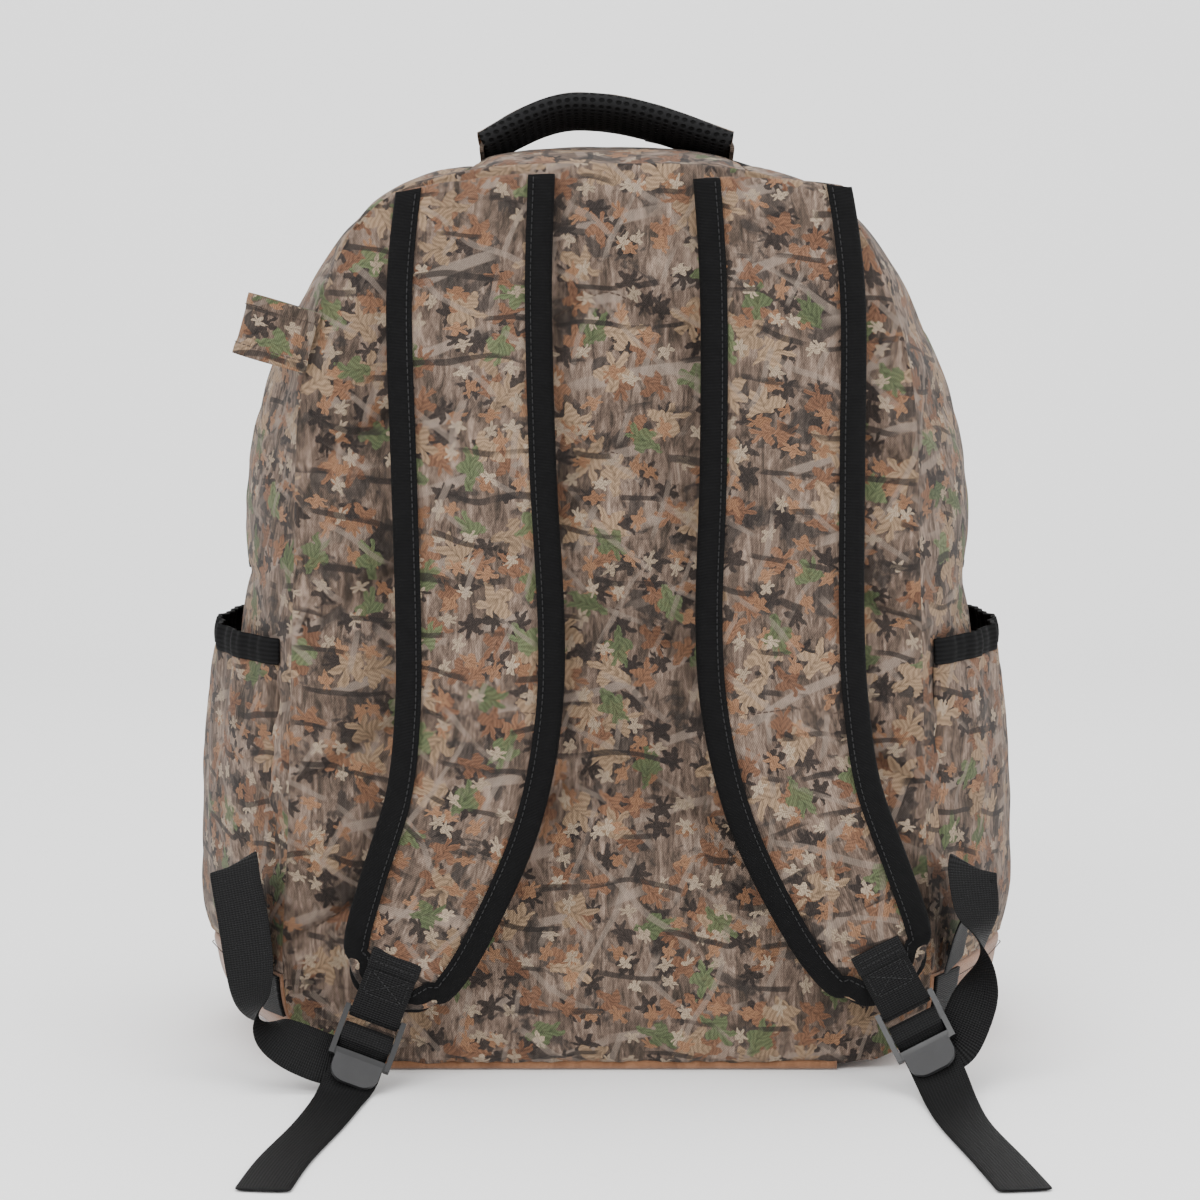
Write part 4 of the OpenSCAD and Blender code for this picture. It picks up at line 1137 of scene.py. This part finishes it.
def build_strap_seam(cloth, side):
    """The seam across the strap: a double row of stitches beside a fold."""
    name = SIDE_NAME[side]
    s = np.interp(-STRAP_SEAM_Z, -strap_mid(side, np.linspace(0, 1, 300))[:, 2], np.linspace(0, 1, 300))
    segments = []
    for shift in (-0.006, 0.009):
        a = np.linspace(-strap_width(s) + 11, strap_width(s) - 11, 60)
        e = a / strap_width(s)
        path = strap_point(side, s + shift, a, pad_height(e) - 0.1)
        segments += stitches((path, np.tile([0.0, -1.0, 0.0], (60, 1))), 3.0, 2.2, 0.3)
    strands(f"strap_seam_{name}", segments, 0.28, cloth["thread_brown"], f"strap_{name}")


# ---------------------------------------------------------------- webbing and buckles

WEB_W, WEB_T = 25.0, 1.2
BUCKLE_LEAN, TAB_BACK = 30.0, -3.2
TOP_BAR_R, LOOP_GAP = 1.6, 0.4
TAB_LONG = 34.0
THUMB_Z = -25.5
ROUTE = {
    LEFT: [((-173, -79, 48), (0.45, -0.89, 0)), ((-177, -90, 78), (0.25, -0.97, 0)),
           ((-181.5, -101, 99), (-0.6, -0.7, -0.4)), ((-182, -107, 105), (-0.85, -0.3, -0.45)),
           ((-181, -112, 99), (-0.88, 0, -0.47)), ((-177, -117, 80), (-0.93, 0, -0.35)),
           ((-174, -121, 60), (-0.96, 0.15, -0.22)), ((-172, -126, 44), (-0.8, 0.6, -0.05)),
           ((-168, -130, 33), (-0.25, 0.95, 0.2)), ((-159, -133, 26), (0.1, 0.75, 0.65)),
           ((-147, -135, 20), (0.3, 0.5, 0.8))],
    RIGHT: [((173, -79, 48), (-0.45, -0.89, 0)), ((177, -90, 78), (-0.25, -0.97, 0)),
            ((179, -100, 98), (0.6, -0.7, -0.4)), ((178.5, -106, 104), (0.85, -0.3, -0.45)),
            ((178.5, -111, 98), (0.88, 0, -0.47)), ((180, -116, 84), (0.85, 0.3, -0.3)),
            ((181.5, -121, 70), (0.25, 0.95, -0.1)), ((181, -127, 56), (-0.3, 0.85, 0.2)),
            ((177, -131, 42), (-0.6, 0.6, 0.45))],
}
ROUTE_BUCKLE = [((13, 5, -26), (0, 0, 1)), ((3.8, 4.6, -22), (0.7, 0, 0.7)), ((0, 4.3, -14.5), (1, 0, 0)),
                ((0, 3.3, -9.8), (1, 0, 0)), ((0, 0, -6.8), (1, 0, 0)), ((0, -2.8, -8.8), (1, 0, 0)),
                ((0, -3.1, -12), (1, 0, 0)), ((0, -2.7, -15), (1, 0, 0)), ((0, -0.2, -17.3), (1, 0, 0)),
                ((0, 2.3, -19.9), (1, 0, 0)), ((0, 2.4, -24), (1, 0, 0)), ((0, 2.6, -29), (1, 0, 0))]
TAIL = {
    LEFT: [((-125, -147, 4.6), (-0.95, 0.06, 0.24)), ((-128, -162, 1.9), (-0.98, 0.12, 0.06)),
           ((-134, -200, 0.9), (-0.98, 0.17, 0)), ((-144, -255, 0.9), (-0.98, 0.17, 0)),
           ((-149, -300, 0.9), (-0.99, 0.1, 0))],
    RIGHT: [((160, -149, 9.5), (0.95, 0.06, 0.3)), ((163, -168, 2.8), (0.98, 0.12, 0.1)),
            ((166, -200, 0.9), (0.98, 0.17, 0)), ((174, -255, 0.9), (0.98, 0.17, 0)),
            ((180, -300, 0.9), (0.99, 0.1, 0))],
}


def buckle_at(side):
    return np.array([side * 128.5 + STRAP_SHIFT, strap_mid(side, 1.0)[1] - STRAP_THICK + 1.2,
                     36.8 + side * STRAP_RISE])


def from_buckle(side, p, lean=BUCKLE_LEAN, place=True):
    """A point, or a direction, of the buckle's own frame in the body's frame."""
    p = np.asarray(p, float)
    a, b = math.radians(lean), math.radians(-side * 24.2 - 3.4)
    y = p[..., 1] * math.cos(a) + p[..., 2] * math.sin(a)
    z = -p[..., 1] * math.sin(a) + p[..., 2] * math.cos(a)
    x = p[..., 0] * math.cos(b) + z * math.sin(b)
    z = -p[..., 0] * math.sin(b) + z * math.cos(b)
    turned = np.stack([x, y, z], -1)
    return turned + buckle_at(side) if place else turned


def web_section(width, thick, corner=0.45):
    """Half-round edged cross-section of webbing: offsets across and through it."""
    w, t = width / 2, thick / 2
    return np.array([(-w, 0), (-w + corner / 2, -t), (-w / 2, -t), (0, -t), (w / 2, -t), (w - corner / 2, -t),
                     (w, 0), (w - corner / 2, t), (w / 2, t), (0, t), (-w / 2, t), (-w + corner / 2, t)])


def web_sweep(name, places, widths, per, width=WEB_W, thick=WEB_T):
    """Webbing swept through stops, each with its place and the direction of its width."""
    t = np.linspace(0, len(places) - 1, per * (len(places) - 1) + 1)
    p = along(np.array(places, float), t)
    ahead = along(np.array(places, float), np.minimum(t + 0.1, len(places) - 1))
    behind = along(np.array(places, float), np.maximum(t - 0.1, 0))
    d = unit(ahead - behind)
    raw = along(np.array(widths, float), t)
    w = unit(raw - (raw * d).sum(-1, keepdims=True) * d)
    n = unit(np.cross(d, w))
    section = web_section(width, thick)
    rings = p[:, None] + section[None, :, :1] * w[:, None] + section[None, :, 1:] * n[:, None]
    run = np.concatenate([[0], np.cumsum(np.linalg.norm(np.diff(p, axis=0), axis=1))])
    uv = np.stack([np.broadcast_to(section[:, 0], rings.shape[:2]),
                   np.repeat(run[:, None], len(section), axis=1)], -1)
    return closed_loft(name, rings, uv)


def build_adjuster(cloth, side):
    name = SIDE_NAME[side]
    mirror = np.array([side, 1.0, 1.0])
    stops = [(np.array(p, float), np.array(w, float)) for p, w in ROUTE[side]]
    stops += [(from_buckle(side, np.array(p) * mirror), from_buckle(side, np.array(w) * mirror, place=False))
              for p, w in ROUTE_BUCKLE]
    stops += [(np.array(p, float), np.array(w, float)) for p, w in TAIL[side]]
    web = web_sweep(f"adjuster_web_{name}", [s[0] for s in stops], [s[1] for s in stops], 8)
    subdivide(web)
    finish_piece(web, cloth["webbing"], None, (f"adjuster_{name}",))
    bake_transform(web)
    anchor = skin_grid(2.5, 3.0, -92, -66, 14, 16, 2.3)
    anchor = mirrored(anchor, side)
    piece = grid_piece(f"web_end_{name}", anchor, grid_uv(anchor))
    thicken(piece, 1.6, cloth["webbing"])
    finish_piece(piece, cloth["webbing"], "body", (f"web_anchor_{name}",))


def build_tab(cloth, side):
    """Webbing folded round the buckle's top bar, its end hemmed and sewn to the strap's face."""
    name = SIDE_NAME[side]
    r = TOP_BAR_R + LOOP_GAP + WEB_T / 2
    turn = np.radians(np.linspace(180, 360, 13))
    leg = [(-r, TAB_LONG - 0.5), (-r - 0.2, 26), (-r, 18), (-r, 10), (-r, 4)]
    round_bar = [(r * math.cos(a), r * math.sin(a)) for a in turn]
    behind = [(r, 2.0), (r, 4.4)]
    profile = leg + round_bar + behind
    places = [from_buckle(side, (0, y, z), TAB_BACK) for y, z in profile]
    across = from_buckle(side, (1, 0, 0), TAB_BACK, place=False)
    tab = web_sweep(f"strap_end_{name}", places, [across] * len(places), 3)
    subdivide(tab)
    finish_piece(tab, cloth["webbing"], f"strap_{name}", (f"strap_tab_{name}",))
    hem_profile = [(-r - 1.0, TAB_LONG - 9.5), (-r - 1.3, TAB_LONG - 6), (-r - 1.3, TAB_LONG - 2),
                   (-r - 0.9, TAB_LONG + 0.6)]
    places = [from_buckle(side, (0, y, z), TAB_BACK) for y, z in hem_profile]
    hem = web_sweep(f"strap_end_hem_{name}", places, [across] * len(places), 5, WEB_W + 0.6, 1.5)
    subdivide(hem)
    finish_piece(hem, cloth["webbing"], f"strap_{name}")
    segments = []
    out = from_buckle(side, (0, -1, 0), TAB_BACK, place=False)
    boxes = [((-10, 11), (10, 11)), ((10, 11), (10, 23)), ((10, 23), (-10, 23)), ((-10, 23), (-10, 11)),
             ((-10, 11), (10, 23)), ((10, 11), (-10, 23)), ((-11, 28), (11, 28)), ((-11, 31), (11, 31))]
    for (xa, za), (xb, zb) in boxes:
        depth = -r - WEB_T / 2 - (1.45 if za > 25 else 0.1)
        t = np.linspace(0, 1, 30)[:, None]
        path = from_buckle(side, np.array([[xa, depth, za]]) * (1 - t) + np.array([[xb, depth, zb]]) * t, TAB_BACK)
        segments += stitches((path, np.tile(out, (30, 1))), 2.6, 1.9, 0.1)
    strands(f"strap_end_stitches_{name}", segments, 0.25, cloth["thread_black"], f"strap_{name}")


def hard_copy(name, node, cloth_material, body, bevel, segments=3):
    """A CAD solid with its sharp edges rounded as moulding or casting leaves them."""
    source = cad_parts[node]
    obj = bpy.data.objects.new(name, source.data.copy())
    obj.data.materials.clear()
    bpy.context.scene.collection.objects.link(obj)
    rail_mesh(obj, bevel, segments)
    obj.data.polygons.foreach_set("use_smooth", [True] * len(obj.data.polygons))
    modifier = obj.modifiers.new("weighted", "WEIGHTED_NORMAL")
    modifier.keep_sharp = False
    apply_modifiers(obj)
    return finish_piece(obj, cloth_material, body, (node,))


def build_buckle(cloth, side):
    name = SIDE_NAME[side]
    obj = hard_copy(f"ladder_lock_{name}", f"buckle_{name}", cloth["plastic"], f"buckle_{name}",
                    0.7)
    obj.data.materials.append(cloth["thumb"])
    down = from_buckle(side, (0, 0, 1), place=False)
    for face in obj.data.polygons:
        depth = (np.array(face.center) / MM - buckle_at(side)) @ down
        if depth < THUMB_Z:
            face.material_index = 1


# ---------------------------------------------------------------- handle and rod loop

HANDLE_HALF, HANDLE_RISE, HANDLE_APEX, HANDLE_W = 61.0, 19.0, 14.0, 35.0
HANDLE_Y, HANDLE_Z, HANDLE_LEAN = -40.0, 451.5, 16.0


def handle_arch(x):
    past = x + HANDLE_APEX
    reach = np.clip(past / (HANDLE_HALF + np.sign(past) * HANDLE_APEX), -1, 1)
    return HANDLE_RISE * np.cos(math.pi / 2 * reach) ** 1.15


def handle_point(x, a, w):
    """x along the handle, a up in its leaning plane, w across it."""
    lean = math.radians(90 - HANDLE_LEAN)
    y = HANDLE_Y + a * math.cos(lean) - w * math.sin(lean)
    z = HANDLE_Z + a * math.sin(lean) + w * math.cos(lean)
    return np.stack(np.broadcast_arrays(x, y, z), -1)


def handle_grid(depths, halves, x_rows=90):
    """Rings along the handle; depths and halves are each ring point's height and place across."""
    x = np.linspace(-HANDLE_HALF, HANDLE_HALF, x_rows)
    arch = handle_arch(x)
    slope = np.gradient(arch, x)
    n = unit(np.stack([-slope, np.ones_like(slope)], -1))
    taper = 1 - 0.22 * np.abs(x / HANDLE_HALF) ** 4
    rings = []
    for k in range(len(x)):
        t = np.asarray(depths)
        rings.append(handle_point(x[k] + n[k, 0] * t, arch[k] + n[k, 1] * t, np.asarray(halves) * taper[k]))
    return np.array(rings)


def build_handle(cloth):
    w = HANDLE_W / 2
    pad = [(-2.6, 0), (-2.4, 0.35), (-1.6, 0.72), (-0.4, 0.97),
           (1.2, 1.08), (3.2, 1.10), (5.0, 1.06), (5.9, 0.97)]
    halves = [-p[1] * w for p in pad[:0:-1]] + [p[1] * w for p in pad]
    depths = [p[0] for p in pad[:0:-1]] + [p[0] for p in pad]
    rounded = spline_resample(np.stack([depths, halves], -1), 2)
    under = handle_grid(rounded[:, 0], rounded[:, 1])
    mesh = grid_piece("handle_pad", under[:, ::-1], grid_uv(under)[:, ::-1])
    subdivide(mesh)
    flip_if_inward(mesh, (0, HANDLE_Y * MM, (HANDLE_Z + 12) * MM), outward=False)
    thicken(mesh, 1.1, cloth["mesh"])
    finish_piece(mesh, cloth["mesh"], "body", ("handle_mesh", "handle_core"))
    profile = [(5.4, 1.02), (6.6, 0.99), (7.8, 0.86), (8.9, 0.62), (9.4, 0.32), (9.6, 0.0)]
    halves = [p[1] * w for p in profile] + [-p[1] * w for p in profile[-2::-1]]
    depths = [p[0] for p in profile] + [p[0] for p in profile[-2::-1]]
    fine = spline_resample(np.stack([depths, halves], -1), 2)
    top = handle_grid(fine[:, 0], fine[:, 1])
    wrinkled_top = wrinkled(top, 0.35, 12.0, 71, 3.0)
    cover = grid_piece("handle_skin", wrinkled_top, grid_uv(top))
    subdivide(cover)
    flip_if_inward(cover, (0, HANDLE_Y * MM, (HANDLE_Z + 12) * MM), outward=True)
    thicken(cover, 0.9, cloth["camo"])
    finish_piece(cover, cloth["camo"], "body", ("handle_cover",))
    for side in (LEFT, RIGHT):
        build_handle_end(cloth, side)


def flip_if_inward(obj, centre, outward):
    """Makes a sheet face away from a point, or towards it."""
    work = bmesh.new()
    work.from_mesh(obj.data)
    work.normal_update()
    middle = Vector(centre)
    score = sum((f.calc_center_median() - middle).dot(f.normal) for f in work.faces)
    if (score > 0) != outward:
        bmesh.ops.reverse_faces(work, faces=work.faces)
    work.to_mesh(obj.data)
    work.free()


def build_handle_end(cloth, side):
    """The handle's end turns down into the top seam and is sewn there."""
    x = side * (HANDLE_HALF + np.array([-3.0, -1.0, 1.2, 2.2, 1.6]))
    a = np.array([5.5, 3.4, 1.0, -1.8, -4.2])
    across = np.linspace(-1, 1, 9) * HANDLE_W / 2 * 0.86
    grid = handle_point(x[:, None], a[:, None], across[None, :])
    piece = grid_piece(f"handle_foot_{SIDE_NAME[side]}", grid)
    subdivide(piece)
    flip_if_inward(piece, (0, HANDLE_Y * MM, HANDLE_Z * MM), outward=True)
    thicken(piece, 2.0, cloth["camo"])
    finish_piece(piece, cloth["camo"], "body")


ROD_LOOP_AT = np.array([-142.0, -100.2, 359.0])
ROD_LOOP_L, ROD_LOOP_W, ROD_LOOP_HALF, ROD_LOOP_T = 36.0, 30.0, 8.5, 1.6


def rod_loop_point(x, y, z):
    a, b = math.radians(173), math.radians(16)
    px = x * math.cos(a) - y * math.sin(a)
    py = x * math.sin(a) + y * math.cos(a)
    return np.stack(np.broadcast_arrays(px * math.cos(b) + z * math.sin(b), py,
                                        -px * math.sin(b) + z * math.cos(b)), -1) + ROD_LOOP_AT


def build_rod_loop(cloth):
    """A folded band of the camouflage fabric with a hem along each edge."""
    rows, cols = 64, 14
    angle = np.linspace(0, 2 * math.pi, rows)
    half = np.sin(np.clip(np.where(angle > math.pi, math.pi - angle / 2, angle / 2), 0.02, math.pi / 2))
    x = ROD_LOOP_L / 2 * (1 - np.cos(angle))
    y = (ROD_LOOP_HALF - 0.3) * np.sin(angle) * half ** 0.6
    w = np.linspace(-0.5, 0.5, cols) * ROD_LOOP_W
    hem = 0.7 * (np.abs(w) > ROD_LOOP_W / 2 - 5)
    out = unit(np.stack([x - ROD_LOOP_L / 2, 2.4 * y], -1))
    px = x[:, None] + hem[None] * out[:, :1]
    py = y[:, None] + hem[None] * out[:, 1:]
    points = rod_loop_point(px, py, np.broadcast_to(w, px.shape))
    points[..., 1] += 0.3 * noise_at(points, 9.0, 81)
    run = np.concatenate([[0], np.cumsum(np.hypot(np.diff(x), np.diff(y)))])
    uv = np.stack([np.broadcast_to(run[:, None], px.shape), np.broadcast_to(w, px.shape)], -1)
    loop = grid_piece("rod_band", points, uv)
    flip_if_inward(loop, tuple((ROD_LOOP_AT + [-18, 2, 5]) * MM), outward=True)
    subdivide(loop)
    thicken(loop, ROD_LOOP_T, cloth["camo"])
    finish_piece(loop, cloth["camo"], "body", ("rod_loop",))
    segments = []
    for edge in (-1, 1):
        wide = np.full(rows, edge * (ROD_LOOP_W / 2 - 5.6))
        path = rod_loop_point(x + 0.5 * out[:, 0], y + 0.5 * out[:, 1], wide)
        outward = rod_loop_point(x + 1.5 * out[:, 0], y + 1.5 * out[:, 1], wide) - path
        segments += stitches((path, unit(outward)), 2.8, 2.0, 0.3)
    strands("rod_band_stitches", segments, 0.25, cloth["thread_brown"], "body")


# ---------------------------------------------------------------- zips

COIL_PITCH = 1.7
CHAIN_R = ZIP_R + 0.3


def zip_place(angle, y, r):
    a = np.radians(angle)
    return np.stack(np.broadcast_arrays(r * np.cos(a), y, ZIP_Z + r * np.sin(a)), -1)


def build_main_zip(cloth):
    ends = (ZIP_ANGLES[0], 180 - ZIP_ANGLES[0])
    for part, body, sign in (("rear", "body", -1), ("flap", "flap", 1)):
        angle, across = np.meshgrid(np.linspace(*ends, 240), np.linspace(0.3, ZIP_GAP + 1.4, 7), indexing="ij")
        y = ZIP_Y + sign * across
        lift = 0.25 * noise_at(zip_place(angle, y, ZIP_R), 16.0, 91 + sign)
        grid = zip_place(angle, y, ZIP_R - 0.7 + lift - 0.8 * (across > ZIP_GAP))
        tape = grid_piece(f"main_zip_tape_{part}", grid)
        flip_if_inward(tape, (0, ZIP_Y * MM, ZIP_Z * MM), outward=True)
        thicken(tape, 0.8, cloth["tape"])
        finish_piece(tape, cloth["tape"], body, (f"zip_tape_{part}",))
        count = int(math.radians(ends[1] - ends[0]) * CHAIN_R / COIL_PITCH)
        a = np.linspace(ends[0] + 0.4, ends[1] - 0.4, count) + sign * 0.13
        near = zip_place(a, ZIP_Y - sign * 0.35, CHAIN_R)
        far = zip_place(a + sign * 0.12, ZIP_Y + sign * 1.7, CHAIN_R + 0.1)
        strands(f"main_zip_coil_{part}", list(zip(near, far)), 0.62, cloth["plastic"], body)
        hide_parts(f"zip_chain_{part}")
    hard_copy("main_zip_stops", "zip_stops", cloth["metal"], "body", 0.35)


def build_pocket_zip(cloth):
    x, z = np.meshgrid(np.linspace(FRONT_POCKET_HALF, -FRONT_POCKET_HALF, 90), np.linspace(0, 10, 9),
                       indexing="xy")
    z = z + POCKET_ZIP_Z
    wave = 0.25 * noise_at(np.stack([x, 0 * x, z], -1), 14.0, 95)
    grid = np.stack([x, FRONT_Y + 1.3 + wave, z], -1)
    tape = grid_piece("front_zip_tape", grid)
    thicken(tape, 0.9, cloth["tape"])
    finish_piece(tape, cloth["tape"], "body", ("front_pocket_zip",))
    segments = []
    for sign in (-1, 1):
        xs = np.arange(-FRONT_POCKET_HALF + 3, FRONT_POCKET_HALF - 3, COIL_PITCH) + sign * 0.4
        mid = POCKET_ZIP_Z + 5
        near = np.stack([xs, np.full_like(xs, FRONT_Y + 2.3), np.full_like(xs, mid - sign * 0.35)], -1)
        far = np.stack([xs + 0.3, np.full_like(xs, FRONT_Y + 2.2), np.full_like(xs, mid + sign * 1.7)], -1)
        segments += list(zip(near, far))
    strands("front_zip_coil", segments, 0.6, cloth["plastic"], "body")


def build_sliders(cloth):
    for name in ("slider_left", "slider_right", "front_pocket_slider"):
        hard_copy(f"{name}_case", name, cloth["metal"], name, 0.4)
    for name in ("pull_left", "pull_right", "front_pocket_pull"):
        hard_copy(f"{name}_tab", name, cloth["plastic"], name, 0.35)


def dress_inside(cloth):
    """The CAD solids that stay: the lining of the back and the board in the base."""
    for node, material in (("back_lining", "lining_plain"), ("base_board", "board")):
        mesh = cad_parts[node].data
        mesh.materials.clear()
        mesh.materials.append(cloth[material])


# ---------------------------------------------------------------- stage

CAMERA_DISTANCE = 1.5
CAMERA_HEIGHT = 0.40
AIM_HEIGHT = 0.234
CAMERA_X = -0.0034
LENS = 92.8


def build_stage():
    floor = bpy.data.meshes.new("floor")
    size, back, rise, bend = 4.0, 1.4, 3.0, 0.7
    rows = [(-size, 0.0)] + [(back + bend * math.sin(a), bend * (1 - math.cos(a)))
                             for a in np.linspace(0, math.pi / 2, 16)] + [(back + bend, rise)]
    verts = [(x, y, z - 0.0004) for y, z in rows for x in (-size, size)]
    faces = [(2 * i, 2 * i + 1, 2 * i + 3, 2 * i + 2) for i in range(len(rows) - 1)]
    floor.from_pydata(verts, [], faces)
    floor.polygons.foreach_set("use_smooth", [True] * len(faces))
    obj = bpy.data.objects.new("floor", floor)
    bpy.context.scene.collection.objects.link(obj)
    g = Graph("floor_white")
    g.surface((0.96, 0.96, 0.96, 1), 0.75, specular=0.2)
    floor.materials.append(g.material)


def build_light(name, place, aim, size, power, tone=(1, 1, 1)):
    data = bpy.data.lights.new(name, "AREA")
    data.shape = "RECTANGLE"
    data.size, data.size_y = size
    data.energy = power
    data.color = tone
    obj = bpy.data.objects.new(name, data)
    obj.location = place
    obj.rotation_euler = (Vector(aim) - Vector(place)).to_track_quat("-Z", "Y").to_euler()
    bpy.context.scene.collection.objects.link(obj)


def build_studio():
    world = bpy.data.worlds.new("studio")
    world.use_nodes = True
    background = world.node_tree.nodes["Background"]
    background.inputs[0].default_value = (1.0, 1.0, 1.0, 1)
    background.inputs[1].default_value = 1.15
    bpy.context.scene.world = world
    build_light("key", (-0.9, -1.9, 1.7), (0, 0, 0.24), (1.6, 1.2), 48)
    build_light("fill", (1.5, -1.6, 0.9), (0, 0, 0.22), (1.4, 1.4), 22)
    build_light("top", (0.1, 0.1, 2.1), (0, 0, 0.3), (1.6, 1.6), 32)


def build_camera():
    data = bpy.data.cameras.new("camera")
    data.lens = LENS
    data.sensor_width = 36.0
    obj = bpy.data.objects.new("camera", data)
    place = Vector((CAMERA_X, BACK_Y * MM - CAMERA_DISTANCE, CAMERA_HEIGHT))
    aim = Vector((CAMERA_X, BACK_Y * MM, AIM_HEIGHT))
    obj.location = place
    obj.rotation_euler = (aim - place).to_track_quat("-Z", "Y").to_euler()
    bpy.context.scene.collection.objects.link(obj)
    bpy.context.scene.camera = obj


def main():
    build_camera()
    build_stage()
    build_studio()
    cloth = cloth_set()
    build_back_panel(cloth)
    build_top_and_base(cloth)
    build_front(cloth)
    build_front_pocket(cloth)
    build_handle(cloth)
    build_rod_loop(cloth)
    build_main_zip(cloth)
    build_pocket_zip(cloth)
    build_sliders(cloth)
    dress_inside(cloth)
    for side in (LEFT, RIGHT):
        build_side(cloth, side)
        build_hinge_piping(cloth, side)
        build_side_pocket(cloth, side)
        build_strap(cloth, side)
        build_adjuster(cloth, side)
        build_tab(cloth, side)
        build_buckle(cloth, side)


main()
